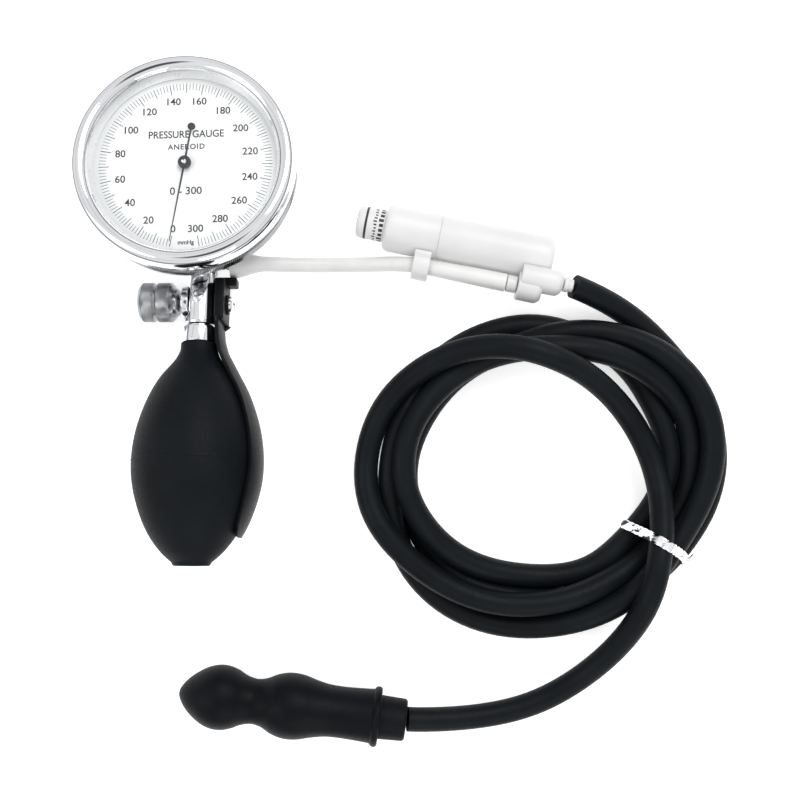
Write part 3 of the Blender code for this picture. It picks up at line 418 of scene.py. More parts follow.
def box_bm(bm, size, centre, mat4, bevel=0.0, seg=3):
    """A box with rounded edges, in mm."""
    b = bmesh.new()
    bmesh.ops.create_cube(b, size=1.0)
    bmesh.ops.scale(b, vec=[s * mm for s in size], verts=b.verts)
    bmesh.ops.translate(b, vec=[c * mm for c in centre], verts=b.verts)
    if bevel:
        bmesh.ops.bevel(b, geom=b.edges[:], offset=bevel * mm, segments=seg, profile=0.6,
                        affect='EDGES')
    tmp = bpy.data.meshes.new("tmp")
    b.to_mesh(tmp)
    b.free()
    tmp.transform(mat4)
    bm.from_mesh(tmp)
    bpy.data.meshes.remove(tmp)


def boolean_mesh(name, base, others, ops):
    """Join or cut closed meshes and give the result back."""
    ob = bpy.data.objects.new(name, base)
    bpy.context.scene.collection.objects.link(ob)
    temps = []
    for me, op in zip(others, ops):
        o = bpy.data.objects.new("tmp_cut", me)
        bpy.context.scene.collection.objects.link(o)
        temps.append(o)
        m = ob.modifiers.new("b", 'BOOLEAN')
        m.operation = op
        m.object = o
        m.solver = 'EXACT'
    bpy.context.view_layer.update()
    deps = bpy.context.evaluated_depsgraph_get()
    out = bpy.data.meshes.new_from_object(ob.evaluated_get(deps))
    bpy.data.objects.remove(ob, do_unlink=True)
    for o in temps:
        bpy.data.objects.remove(o, do_unlink=True)
    out.name = name
    return out


def lathe_mesh(name, pts, steps, mat4, closed=False):
    bm = bmesh.new()
    lathe_bm(bm, pts, steps, mat4, closed)
    return to_mesh(name, bm)


def box_mesh(name, size, centre, mat4, bevel=0.0):
    bm = bmesh.new()
    box_bm(bm, size, centre, mat4, bevel)
    return to_mesh(name, bm)


# ------------------------------------------------------------------ hose: one rubber hose
HOSE_ROUTE = [  # strand, then (x, y, z) in mm; x and y are where the sight line from above meets the table
    ("lead", [(58.2, 38.1, 12.9), (62.0, 36.5, 11.8), (66.0, 34.8, 10.2), (72.7, 32.0, 7.6), (78.4, 28.1, 5.6), (83.8, 22.4, 4.4), (88.4, 16.1, 4.0), (93.8, 9.7, 4.0), (98.5, 4.0, 4.0), (101.8, -1.3, 4.0), (104.5, -8.4, 4.0), (105.9, -16.8, 4.0), (105.2, -25.1, 4.0), (102.6, -31.6, 4.0), (98.2, -37.6, 4.0), (93.8, -43.9, 4.0)]),
    ("s4", [(87.4, -50.4, 4.0), (78.8, -58.3, 4.0), (67.0, -64.3, 4.0), (55.3, -66.3, 4.0), (43.6, -66.0, 4.0), (33.5, -63.7, 4.0), (20.1, -59.0, 4.0), (10.1, -51.3, 4.0), (4.0, -41.9, 4.0), (0.7, -33.5, 4.0), (-0.7, -22.8, 4.0)]),
    ("C", [(1.0, -16.8, 4.0), (2.8, -11.9, 4.0), (5.4, -7.0, 4.0), (8.7, -2.3, 4.0), (12.4, 2.5, 5.0), (18.1, 8.7, 6.0), (26.0, 13.2, 8.0)]),
    ("F", [(33.5, 17.1, 10.0), (40.5, 19.1, 11.0), (48.6, 21.4, 12.0), (53.6, 22.4, 12.0), (58.6, 22.8, 12.0), (63.7, 22.8, 12.0), (68.3, 22.3, 12.0), (74.0, 21.3, 12.0), (81.1, 18.9, 12.0), (85.1, 16.9, 12.0), (88.4, 15.1, 12.0), (94.1, 9.7, 12.0), (98.8, 4.7, 12.0), (102.2, -1.2, 12.0), (104.6, -7.2, 12.0), (105.5, -13.7, 12.0), (105.9, -18.4, 12.0), (105.0, -24.5, 12.0), (102.7, -30.0, 12.0), (99.8, -35.8, 12.0), (96.5, -41.2, 11.5), (91.1, -49.2, 11.2)]),
    ("s3", [(85.4, -55.6, 9.0), (79.1, -61.6, 6.0), (72.4, -66.3, 4.0), (67.0, -70.2, 4.0), (59.9, -73.0, 4.0), (52.6, -75.2, 4.0), (41.9, -76.4, 4.0), (27.7, -74.0, 4.0), (18.8, -70.4, 4.0), (10.1, -64.3, 4.0), (4.0, -57.6, 5.0), (0.0, -50.2, 7.0), (-2.0, -41.9, 9.0), (-1.7, -33.5, 11.0)]),
    ("D", [(-1.7, -23.5, 11.5), (-1.3, -18.4, 11.5), (-0.5, -12.4, 11.0), (1.7, -5.0, 10.0), (4.7, 2.0, 8.0)]),
    ("E", [(8.4, 8.4, 6.0), (14.7, 14.4, 4.0), (20.8, 18.4, 4.0), (28.1, 21.4, 4.0), (37.9, 23.1, 4.0), (44.9, 23.6, 4.0), (53.6, 22.4, 4.0), (63.7, 19.8, 4.0), (71.4, 16.1, 4.0), (77.7, 11.4, 4.5), (82.1, 6.7, 5.0), (85.4, 1.0, 6.5)]),
    ("H", [(88.1, -5.0, 8.0), (89.8, -11.7, 8.7), (90.8, -16.8, 8.7), (91.6, -23.5, 9.2), (91.4, -29.5, 10.2), (89.6, -36.3, 11.5), (86.0, -42.4, 12.2)]),
    ("s1", [(81.4, -47.4, 10.5), (73.6, -54.0, 6.0), (67.5, -57.0, 4.0), (56.3, -58.4, 4.0), (43.8, -60.0, 5.0), (34.8, -59.6, 6.0), (24.1, -56.6, 9.0), (17.4, -52.3, 11.0), (12.7, -47.2, 11.5)]),
    ("B", [(7.4, -40.5, 13.0), (3.4, -34.8, 16.0), (0.7, -28.5, 19.0), (-0.7, -22.8, 19.2), (0.2, -16.8, 19.2), (2.7, -9.4, 19.0), (6.7, -3.4, 18.0), (12.4, 3.0, 17.0), (18.4, 8.7, 16.0), (25.8, 13.4, 17.0), (33.5, 16.1, 18.0), (43.6, 17.4, 19.0)]),
    ("G", [(53.6, 18.4, 19.0), (63.7, 17.8, 17.5), (67.7, 17.4, 16.5), (72.7, 15.9, 14.5), (79.4, 13.1, 11.0), (84.4, 9.4, 8.0), (88.8, 5.4, 6.0), (92.5, 1.0, 4.5), (95.5, -3.7, 4.0), (97.2, -10.7, 4.0), (98.2, -16.8, 4.0), (97.8, -23.5, 4.0), (96.1, -30.8, 4.0), (92.4, -36.8, 4.4), (88.2, -42.3, 4.8), (84.2, -48.0, 5.5)]),
    ("s2", [(80.4, -54.3, 8.0), (75.0, -59.3, 10.5), (67.0, -63.7, 10.8), (58.6, -66.3, 10.8), (52.6, -67.7, 10.8), (41.9, -68.7, 10.8), (31.2, -67.7, 10.8), (20.4, -64.9, 10.8), (13.4, -61.3, 10.8), (7.4, -56.6, 11.0), (1.2, -50.9, 13.0), (-3.4, -45.6, 13.0), (-7.7, -40.2, 12.0)]),
    ("A", [(-10.6, -34.8, 11.0), (-11.9, -28.1, 10.5), (-11.7, -22.4, 10.5), (-10.4, -15.1, 12.0), (-8.0, -8.4, 14.0), (-4.7, -1.7, 17.0), (0.0, 4.0, 20.0), (6.0, 9.4, 23.0), (12.4, 13.7, 25.0), (19.1, 16.4, 26.0), (26.8, 17.9, 26.5), (35.2, 18.3, 27.0), (43.6, 17.4, 27.0), (49.6, 16.1, 26.0), (55.3, 14.1, 24.0), (60.3, 11.1, 21.0), (66.0, 6.4, 18.0), (71.0, 1.7, 15.5)]),
    ("T", [(75.7, -4.0, 14.5), (79.4, -9.4, 14.3), (83.2, -16.8, 14.2), (85.8, -23.5, 14.2), (87.4, -30.2, 15.0), (88.1, -37.9, 18.0), (88.1, -44.2, 19.6), (87.4, -49.6, 19.4)]),
    ("tail", [(86.1, -56.6, 18.0), (84.1, -63.7, 15.5), (81.7, -69.7, 12.0), (78.7, -75.4, 8.0), (75.4, -80.1, 5.3), (71.0, -84.8, 4.2), (62.0, -91.8, 4.0), (50.2, -99.5, 4.0), (33.5, -104.9, 4.0), (21.8, -106.5, 5.0), (13.4, -107.2, 7.5), (6.7, -107.2, 9.0), (2.5, -106.9, 9.5)]),
]
HOSE_R, HOSE_D = 3.9, 7.8


def settle_hose():
    """Lay the hose along its route: strands push each other apart, and it bends stiffly."""
    P = []
    for _, pts in HOSE_ROUTE:
        P += [Vector(p) for p in pts]
    P = [P[0] * 2 - P[1]] + P + [P[-1] * 2 - P[-2]]
    dense = []
    for i in range(1, len(P) - 2):
        p0, p1, p2, p3 = P[i - 1], P[i], P[i + 1], P[i + 2]
        d0, d1, d2 = [max((b.xy - a.xy).length, 1e-6) ** 0.5
                      for a, b in ((p0, p1), (p1, p2), (p2, p3))]
        m1 = ((p2 - p1) / d1 - (p2 - p0) / (d0 + d1) + (p1 - p0) / d0) * d1
        m2 = ((p3 - p2) / d2 - (p3 - p1) / (d1 + d2) + (p2 - p1) / d1) * d1
        for k in range(30):
            t = k / 30
            dense.append(p1 * (2 * t ** 3 - 3 * t * t + 1) + m1 * (t ** 3 - 2 * t * t + t)
                         + p2 * (-2 * t ** 3 + 3 * t * t) + m2 * (t ** 3 - t * t))
    dense.append(P[-2])
    c = np.array([tuple(p) for p in dense])
    s = np.r_[0, np.cumsum(np.hypot(*np.diff(c[:, :2], axis=0).T))]
    n = int(round(s[-1] / 3.0)) + 1
    q = np.linspace(0, s[-1], n)
    pts = np.column_stack([np.interp(q, s, c[:, k]) for k in range(3)])
    for _ in range(6):
        w = pts[:, :2].copy()
        w[1:-1] += 0.25 * (pts[:-2, :2] + pts[2:, :2] - 2 * pts[1:-1, :2])
        pts[:, :2] = w
    sight, z = pts[:, :2].copy(), pts[:, 2].copy()
    Q = np.column_stack([sight * (1 - z / EYE)[:, None], z])
    idx = np.arange(n)
    far = np.abs(idx[:, None] - idx[None, :]) > 7
    ends = Q[[0, 1, 2, -3, -2, -1]].copy()

    def stiff(alpha):
        D = np.zeros((n - 2, n))
        for i in range(n - 2):
            D[i, i], D[i, i + 1], D[i, i + 2] = 1, -2, 1
        return np.linalg.inv(np.eye(n) + alpha * D.T @ D)

    for alpha, grav, hold in ((2.0, 0.02, 0.08), (4.0, 0.03, 0.06)):
        K = stiff(alpha)
        for _ in range(150):
            Q[:, :2] += hold * (sight * (1 - Q[:, 2] / EYE)[:, None] - Q[:, :2])
            Q[:, 2] -= grav
            Q = K @ Q
            Q[[0, 1, 2, -3, -2, -1]] = ends
            for _k in range(2):
                d = Q[:, None, :] - Q[None, :, :]
                r = np.sqrt((d ** 2).sum(2)) + 1e-9
                lack = np.where(far & (r < HOSE_D), HOSE_D - r, 0)
                hits = np.maximum((lack > 0).sum(1), 1)
                Q = Q + 0.8 * (d * (lack / r)[:, :, None]).sum(1) / hits[:, None]
                Q[:, 2] = np.maximum(Q[:, 2], HOSE_R + 0.1)
    a, b = Q[[0, 1]].copy(), Q[[-2, -1]].copy()
    Q = stiff(2.0) @ Q
    Q[0], Q[-1] = a[0], b[1]
    return Q


def world(p):
    return Vector(((p[0] + SX) * mm, (p[1] + SY) * mm, p[2] * mm))


def cable(name, pts, diameter, mat, radii=None, res=8):
    cu = bpy.data.curves.new(name, 'CURVE')
    cu.dimensions = '3D'
    cu.bevel_depth = diameter * mm / 2
    cu.bevel_resolution = res
    cu.use_fill_caps = True
    sp = cu.splines.new('POLY')
    sp.points.add(len(pts) - 1)
    for i, p in enumerate(pts):
        sp.points[i].co = (*p, 1.0)
        sp.points[i].radius = radii[i] if radii else 1.0
    sp.use_smooth = True
    cu.materials.append(M[mat])
    ob = bpy.data.objects.new(name, cu)
    bpy.context.scene.collection.objects.link(ob)
    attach(ob, "set_body")
    return ob


HOSE = settle_hose()
hose_pts = [world(p) for p in HOSE]
hose = cable("rubber_hose", hose_pts, HOSE_D, "hose_rubber", res=9)
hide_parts("hose_lead", "hose_coil", "hose_tail")


# the foil tie goes round the bundle of strands at its lower right
def tie_section():
    mid = Vector((83.43, -46.33, 11.0))
    across = Vector((51.0, -32.0, 0)).normalized()
    normal = Vector((across.y, -across.x, 0))
    hits = []
    for a, b in zip(HOSE, HOSE[1:]):
        a, b = Vector(a), Vector(b)
        da, db = (a - mid).dot(normal), (b - mid).dot(normal)
        if da * db <= 0 and da != db:
            p = a.lerp(b, da / (da - db))
            if (p - mid).xy.length < 15:
                hits.append(((p - mid).dot(across), p.z))
    ring = []
    for c, z in hits:
        for k in range(24):
            t = 2 * math.pi * k / 24
            ring.append((c + (HOSE_R + 0.35) * math.cos(t), z + (HOSE_R + 0.35) * math.sin(t)))
    ring = sorted(set(ring))

    def half(seq):
        h = []
        for p in seq:
            while len(h) > 1 and ((h[-1][0] - h[-2][0]) * (p[1] - h[-2][1])
                                  - (h[-1][1] - h[-2][1]) * (p[0] - h[-2][0])) <= 0:
                h.pop()
            h.append(p)
        return h[:-1]
    hull = half(ring) + half(ring[::-1])
    return mid, across, normal, hull, hits


mid, across, normal, hull, hits = tie_section()
H = np.array(hull + [hull[0]])
hs = np.r_[0, np.cumsum(np.hypot(*np.diff(H, axis=0).T))]
N_TIE = 110
hq = np.linspace(0, hs[-1], N_TIE, endpoint=False)
loop = np.column_stack([np.interp(hq, hs, H[:, 0]), np.interp(hq, hs, H[:, 1])])
bm = bmesh.new()
rows = []
cz = loop.mean(0)
ACROSS = 7
for i, (c, z) in enumerate(loop):
    out = Vector((c - cz[0], z - cz[1])).normalized()
    drift = 0.9 * math.sin(2 * math.pi * i / N_TIE + 0.6)
    row = []
    for side in (1, -1):
        js = range(ACROSS + 1) if side == 1 else range(ACROSS, -1, -1)
        for j in js:
            t = -1 + 2 * j / ACROSS
            w = 1.5 * t + drift + 0.10 * math.sin(i * 1.7 + j)
            crease = 0.16 * math.sin(i * 0.9 + 2.1 * j) * math.cos(i * 0.37 - j) \
                + 0.10 * math.sin(i * 2.3 + j * 1.1)
            o = (0.28 + 0.16 * (1 - t * t) + abs(crease)) if side == 1 else 0.02
            cc, zz = c + out.x * o, max(z + out.y * o, 0.12)
            p = mid + across * cc + normal * w
            row.append(bm.verts.new(world((p.x, p.y, zz))))
    rows.append(row)
for i in range(N_TIE):
    a, b = rows[i], rows[(i + 1) % N_TIE]
    m_ = len(a)
    for j in range(m_):
        bm.faces.new((a[j], a[(j + 1) % m_], b[(j + 1) % m_], b[j]))
# the twisted ends, standing off the bundle's outer side
for k, (dx, dy, dz, w0) in enumerate(((1.0, -3.6, 2.2, 0.85), (2.2, -1.2, 1.6, 0.75))):
    cmax = loop[:, 0].max()
    start = mid + across * (cmax - 0.2) + Vector((0, 0, 0))
    zs = float(loop[loop[:, 0].argmax(), 1])
    prev = None
    for i in range(15):
        t = i / 14
        ctr = start + across * (dx * t) + normal * (dy * t * t * 0.8 - 0.6)
        zz = zs + dz * math.sin(t * 1.7) * 0.8
        a = 5.0 * t + k
        e1 = normal * math.cos(a)
        ring_ = []
        for s_, hgt in ((-1, 0), (0, 0.22), (1, 0), (0, -0.22)):
            p = ctr + e1 * (s_ * w0 * (1 - 0.35 * t))
            q = zz + s_ * w0 * math.sin(a) * 0.7 + hgt
            ring_.append(bm.verts.new(world((p.x, p.y, q))))
        if prev:
            for j in range(4):
                bm.faces.new((prev[j], prev[(j + 1) % 4], ring_[(j + 1) % 4], ring_[j]))
        else:
            bm.faces.new(ring_[::-1])
        prev = ring_
    bm.faces.new(prev)
tie = piece("foil_tie", to_mesh("foil_tie", bm), "foil", replaces=("twist_tie",), sharp=28)

# ------------------------------------------------------------------ thin white tube
cA, sA = math.cos(CAPT), math.sin(CAPT)


def cap_point(x, y, z):
    return (CAPX + x * cA - y * sA, CAPY + x * sA + y * cA, CAPZ + z)


OV, OW = -26.0, -2.0
t0 = (UX + 9.0, UY + OV * math.cos(TILT) + OW * math.sin(TILT),
      UZ - OV * math.sin(TILT) + OW * math.cos(TILT))
CLIP_X, TY, TZ = -14.3, -10.6, 2.0
CONN_P, CONN_Z = -10.7, 11.6
route = [t0, (t0[0] + 5, t0[1], t0[2] - 0.1), (-43, 44.7, 6.0), (-34, 44.7, 4.0),
         (-24, 44.8, 2.9), (-12, 44.8, 4.0), (-1, 44.5, 7.6), cap_point(CLIP_X, TY, TZ),
         cap_point(-5.0, -10.65, 3.0), cap_point(5.0, CONN_P, CONN_Z - CAPZ),
         cap_point(13.6, CONN_P, CONN_Z - CAPZ)]
P = [Vector(p) for p in route]
P = [P[0] * 2 - P[1]] + P + [P[-1] * 2 - P[-2]]
dense = []
for i in range(1, len(P) - 2):
    p0, p1, p2, p3 = P[i - 1:i + 3]
    for k in range(14):
        t = k / 14
        dense.append(0.5 * ((2 * p1) + (p2 - p0) * t + (2 * p0 - 5 * p1 + 4 * p2 - p3) * t * t
                            + (3 * p1 - p0 - 3 * p2 + p3) * t ** 3))
dense.append(P[-2])
radii, s = [], 0.0
TOTAL = sum((b - a).length for a, b in zip(dense, dense[1:]))
for i, p in enumerate(dense):
    if i:
        s += (p - dense[i - 1]).length
    t = min(max((s - 1.0) / 10.5, 0.0), 1.0)
    swell = min(1.0, max(0.0, 1 - (TOTAL - s - 6.0) / 22.0))
    radii.append(1.88 - 0.88 * (t * t * (3 - 2 * t)) ** 0.8 + 0.17 * swell)
tube_pts = [world(p) for p in dense]
thin = cable("white_tube", tube_pts, 5.0, "tube_white", radii, res=8)
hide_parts("thin_tube")

# ------------------------------------------------------------------ floor, light, surroundings
me = bpy.data.meshes.new("floor")
me.from_pydata([(-4, -4, 0), (4, -4, 0), (4, 4, 0), (-4, 4, 0)], [], [(0, 1, 2, 3)])
floor = bpy.data.objects.new("floor", me)
bpy.context.scene.collection.objects.link(floor)
n = Nodes("pale_floor")
n.link(n.ramp(n.noise(6.0, 3.0), [(0.3, (0.93, 0.93, 0.93)), (0.7, (0.95, 0.95, 0.95))]),
       n.b.inputs["Base Color"])
n.b.inputs["Roughness"].default_value = 0.9
n.b.inputs["Specular IOR Level"].default_value = 0.1
n.b.inputs["Emission Color"].default_value = (1, 1, 1, 1)
n.b.inputs["Emission Strength"].default_value = 0.50
floor.data.materials.append(n.m)


def area(name, loc, size, power, color=(1, 1, 1), aim=(0, 0, 0), size_y=None):
    d = bpy.data.lights.new(name, 'AREA')
    d.shape = 'RECTANGLE'
    d.size = size
    d.size_y = size_y or size
    d.energy = power
    d.color = color
    o = bpy.data.objects.new(name, d)
    bpy.context.scene.collection.objects.link(o)
    o.location = loc
    o.rotation_euler = (Vector(aim) - Vector(loc)).to_track_quat('-Z', 'Y').to_euler()
    return o


area("key", (0.35, 0.55, 0.85), 0.55, 5.0)
area("fill", (-0.75, -0.10, 0.80), 0.6, 2.4)
area("front", (0.25, -0.75, 0.60), 0.5, 1.5)

w = bpy.data.worlds.new("studio")
bpy.context.scene.world = w
w.use_nodes = True
t = w.node_tree
bg = t.nodes["Background"]
tc = t.nodes.new("ShaderNodeTexCoord")
sep = t.nodes.new("ShaderNodeSeparateXYZ")
t.links.new(tc.outputs["Generated"], sep.inputs[0])
ramp = t.nodes.new("ShaderNodeValToRGB")
e = ramp.color_ramp.elements
stops = [(0.0, 0.55), (0.12, 0.60), (0.17, 0.10), (0.22, 0.06), (0.27, 0.85), (0.62, 0.95),
         (0.70, 0.70), (0.78, 0.92), (0.965, 0.95), (0.985, 0.12), (1.0, 0.10)]
while len(e) < len(stops):
    e.new(0.5)
for s_, (p_, v_) in zip(e, stops):
    s_.position = p_
    s_.color = (v_, v_, v_ * 1.01, 1)
t.links.new(sep.outputs["Z"], ramp.inputs["Fac"])
t.links.new(ramp.outputs["Color"], bg.inputs["Color"])
bg.inputs["Strength"].default_value = 0.92
bpy.context.scene.view_settings.view_transform = 'Standard'

# ------------------------------------------------------------------ gauge shell
prof = curve_pts([(29.45, 23.3), (29.9, 24.1), (30.9, 24.8), (32.1, 25.08), (33.4, 24.7), (34.5, 23.5),
                  (35.08, 21.5), (35.0, 19.6), (34.5, 18.0), (33.7, 16.75)], 5)
prof += [(33.3, 16.42), (31.9, 16.42), (31.9, 22.9), (31.6, 23.15), (29.6, 23.15)]
lathe("bezel_chrome", prof, 160, DIAL, "chrome", replaces=("bezel_ring",), closed=True)

lathe("window_glass", fillet([(0, 22.9), (31.5, 22.9), (31.5, 21.4), (0, 21.4)], 0.3, 3), 120, DIAL,
      "glass", replaces=("gauge_glass",))
lathe("dial_flange", fillet([(30.7, 20.6), (31.5, 20.6), (31.5, 18.9), (28.7, 18.9), (28.7, 19.1)],
                            0.1, 2, True), 140, DIAL, "flange_grey", replaces=("inner_flange",), closed=True)
lathe("dial_face", fillet([(1.3, 18.5), (31.2, 18.5), (31.2, 17.6), (1.3, 17.6)], 0.1, 2, True), 128,
      DIAL, "dial_white", replaces=("dial_plate",), closed=True)
lathe("case_cup", fillet([(0, 4.0), (28.2, 4.0), (29.4, 5.6), (29.4, 17.3), (31.2, 17.3), (31.2, 15.9),
                          (31.0, 15.7), (31.0, 11.0), (31.2, 10.8), (31.2, 7.0), (30.0, 4.4),
                          (27.4, 2.6), (0, 2.6)], 0.35, 3), 128, DIAL, "steel",
      replaces=("gauge_case",))
bp = fillet([(0, 2.3), (25.6, 2.3), (25.6, 1.9), (24.7, 0.87), (21.6, 0.87), (21.35, 1.12),
             (20.9, 1.12), (20.65, 0.87), (0, 0.87)], 0.15, 2)
bm = bmesh.new()
lathe_bm(bm, bp, 120, DIAL)
for k in range(3):
    a = math.radians(90 + 120 * k)
    lathe_bm(bm, fillet([(0, 1.2), (1.35, 1.2), (1.35, 0.72), (0.9, 0.52), (0, 0.5)], 0.15, 2), 20,
             DIAL @ T(17.8 * math.cos(a), 17.8 * math.sin(a), 0))
piece("back_plate", to_mesh("back_plate", bm), "steel", replaces=("case_back",))


def knurled_ring():
    """A ring whose outside is cut with fine slanted teeth."""
    bm = bmesh.new()
    teeth, rows = 300, []
    steps = teeth * 2
    levels = [(11.42, 33.75, 0), (11.62, 34.05, 1), (12.0, 34.38, 1), (13.0, 34.4, 1), (14.4, 34.4, 1),
              (15.4, 34.38, 1), (15.8, 34.05, 1), (15.98, 33.75, 0)]
    for z, r, cut_ in levels:
        row = []
        for k in range(steps):
            a = 2 * math.pi * (k + 1.9 * (z - 13.7) / 2.3) / steps
            rr = r - (0.34 if (k % 2 and cut_) else 0.0)
            row.append(bm.verts.new(DIAL @ Vector((rr * mm * math.cos(a), rr * mm * math.sin(a), z * mm))))
        rows.append(row)
    inner = []
    for z in (15.98, 11.42):
        inner.append([bm.verts.new(DIAL @ Vector((31.6 * mm * math.cos(2 * math.pi * k / steps),
                                                  31.6 * mm * math.sin(2 * math.pi * k / steps),
                                                  z * mm))) for k in range(steps)])
    allrows = rows + inner
    for a, b in zip(allrows, allrows[1:] + allrows[:1]):
        for k in range(steps):
            j = (k + 1) % steps
            bm.faces.new((a[k], a[j], b[j], b[k]))
    return to_mesh("knurl_ring", bm)


piece("knurl_ring", knurled_ring(), "chrome_knurl", replaces=("knurled_ring",), sharp=25)

# ------------------------------------------------------------------ dial printing
SWEEP, ZERO = 340.7, 8.3
W_FACE = 18.5


def dial_angle(value):
    """Angle from +u, anticlockwise, of a value on the dial."""
    return math.radians(-90 - ZERO - SWEEP * value / 300.0)


bm = bmesh.new()


def dash(a, r0, r1, width, w0=W_FACE - 0.02, w1=W_FACE + 0.035):
    c, s_ = math.cos(a), math.sin(a)
    vs = []
    for w_ in (w0, w1):
        for r_, side in ((r0, -1), (r1, -1), (r1, 1), (r0, 1)):
            x_, y_ = r_ * c - side * width / 2 * s_, r_ * s_ + side * width / 2 * c
            vs.append(bm.verts.new(DIAL @ Vector((x_ * mm, y_ * mm, w_ * mm))))
    for q in ((3, 2, 1, 0), (4, 5, 6, 7), (0, 1, 5, 4), (1, 2, 6, 5), (2, 3, 7, 6), (3, 0, 4, 7)):
        bm.faces.new([vs[i] for i in q])


for i in range(151):
    v_ = i * 2
    a = dial_angle(v_)
    if v_ % 20 == 0:
        dash(a, 23.75, 27.2, 0.22)
    elif v_ % 10 == 0:
        dash(a, 23.95, 27.2, 0.20)
    else:
        dash(a, 24.9, 27.2, 0.14)
piece("dial_marks", to_mesh("dial_marks", bm), "print_black", slot="dial_plate", sharp=20)


def text_into(bm_, words, size, x, y, squeeze=1.0, mat4=None, w_=W_FACE + 0.012, spacing=1.0):
    cu = bpy.data.curves.new("words", 'FONT')
    cu.body = words
    cu.size = size * mm
    cu.align_x = 'CENTER'
    cu.align_y = 'CENTER'
    cu.extrude = 0.02 * mm
    cu.offset = 0.00005
    cu.resolution_u = 4
    cu.space_character = spacing
    ob = bpy.data.objects.new("words", cu)
    bpy.context.scene.collection.objects.link(ob)
    bpy.context.view_layer.update()
    me_ = bpy.data.meshes.new_from_object(ob.evaluated_get(bpy.context.evaluated_depsgraph_get()))
    me_.transform((mat4 or DIAL) @ T(x, y, w_) @ Matrix.Diagonal((squeeze, 1, 1, 1)))
    bm_.from_mesh(me_)
    bpy.data.objects.remove(ob, do_unlink=True)
    bpy.data.meshes.remove(me_)


TURNED = DIAL @ Matrix.Rotation(math.radians(2.0), 4, 'Z')
bm = bmesh.new()
for v_ in range(0, 301, 20):
    a = dial_angle(v_) - math.radians(2.0)
    text_into(bm, str(v_), 3.3, 20.7 * math.cos(a) - 0.15, 21.45 * math.sin(a) - 0.1, 1.0, TURNED)
text_into(bm, "PRESSURE GAUGE", 3.4, 0.15, 9.9, 0.88, TURNED)
text_into(bm, "ANEROID", 2.45, 0.25, 5.75, 0.98, TURNED, spacing=1.15)
text_into(bm, "0 - 300", 3.5, 0.1, -8.9, 1.0, TURNED)
text_into(bm, "mmHg", 1.95, 0.1, -25.6, 0.95, TURNED)
me = bpy.data.meshes.new("dial_numbers")
bm.to_mesh(me)
bm.free()
piece("dial_numbers", me, "print_black", slot="dial_plate", sharp=30)

# ------------------------------------------------------------------ pointer
PT = DIAL @ Matrix.Rotation(-math.radians(ZERO), 4, 'Z')
bm = bmesh.new()


def needle(stations, z0, z1):
    """A flat bar with a slight roof, from (y, half width) stations."""
    prev = None
    for y_, hw in stations:
        ring_ = [bm.verts.new(PT @ Vector((x_ * mm, y_ * mm, z_ * mm)))
                 for x_, z_ in ((-hw, z0), (hw, z0), (hw, z1 - 0.06), (0, z1), (-hw, z1 - 0.06))]
        if prev:
            for j in range(5):
                bm.faces.new((prev[j], prev[(j + 1) % 5], ring_[(j + 1) % 5], ring_[j]))
        else:
            bm.faces.new(ring_[::-1])
        prev = ring_
    bm.faces.new(prev)


needle([(-25.9, 0.09), (-20.0, 0.15), (-10.0, 0.22), (-2.0, 0.29), (0.0, 0.31), (2.0, 0.29),
        (7.0, 0.25), (11.0, 0.24)], 20.02, 20.36)
lathe_bm(bm, fillet([(0, 20.4), (1.22, 20.4), (1.22, 20.0), (0, 20.0)], 0.1, 3), 36,
         PT @ T(0, 12.0, 0))
lathe_bm(bm, fillet([(0.75, 20.95), (1.7, 20.93), (2.02, 20.65), (2.02, 19.62), (0.75, 19.62)], 0.12, 4,
                    True), 48, PT, closed=True)
piece("needle", to_mesh("needle", bm), "print_black", "pointer_staff", ("pointer",), sharp=30)
lathe("needle_pin", [(0, 20.98), (0.2, 20.97), (0.26, 20.9), (0.3, 20.78), (0.4, 20.8), (0.5, 21.05),
                     (0.62, 21.09), (0.72, 21.0), (0.74, 20.7), (0.74, 19.7), (0, 19.7)],
      32, PT, "chrome", "pointer_staff", slot="pinion_staff")

# ------------------------------------------------------------------ valve tube
bm = bmesh.new()
lathe_bm(bm, fillet([(0, -30.5), (4.85, -30.5), (4.85, -46.55), (4.65, -47.15), (0, -47.15)], 0.2, 3), 96,
         UNIT @ ALONG_V)
box_bm(bm, (10.0, 23.3, 5.0), (0, -21.35, -2.05), UNIT, 0.9, 4)
piece("valve_tube", to_mesh("valve_tube", bm), "chrome", replaces=("valve_body",), sharp=42)
lathe("outlet_spigot", [(1.0, 8.7), (1.75, 8.7), (2.25, 7.7), (1.85, 7.65), (2.3, 6.6), (1.9, 6.55),
                        (2.35, 5.9), (2.35, 5.3), (1.0, 5.3)], 48, UNIT @ T(0, OV, OW) @ OUT_RIGHT,
      "chrome", replaces=("outlet_barb",), closed=True, sharp=25)
lathe("ferrule", fillet([(1.5, -47.45), (4.4, -47.45), (4.4, -48.15), (5.45, -48.15), (5.45, -53.15),
                         (3.2, -53.15), (3.2, -62.0), (2.6, -63.0), (1.5, -63.0)], 0.2, 3, True), 96,
      UNIT @ ALONG_V, "chrome", replaces=("bulb_ferrule",), closed=True)
disc = lathe_mesh("disc", fillet([(2.45, 5.5), (5.7, 5.5), (5.7, 3.4), (2.45, 3.4)], 0.28, 3, True), 96,
                  VALVE, True)
seat = lathe_mesh("seat", [(0, -20), (5.15, -20), (5.15, -60), (0, -60)], 96, UNIT @ ALONG_V)
piece("valve_washer", boolean_mesh("valve_washer", disc, [seat], ['DIFFERENCE']), "chrome",
      replaces=("valve_flange",))


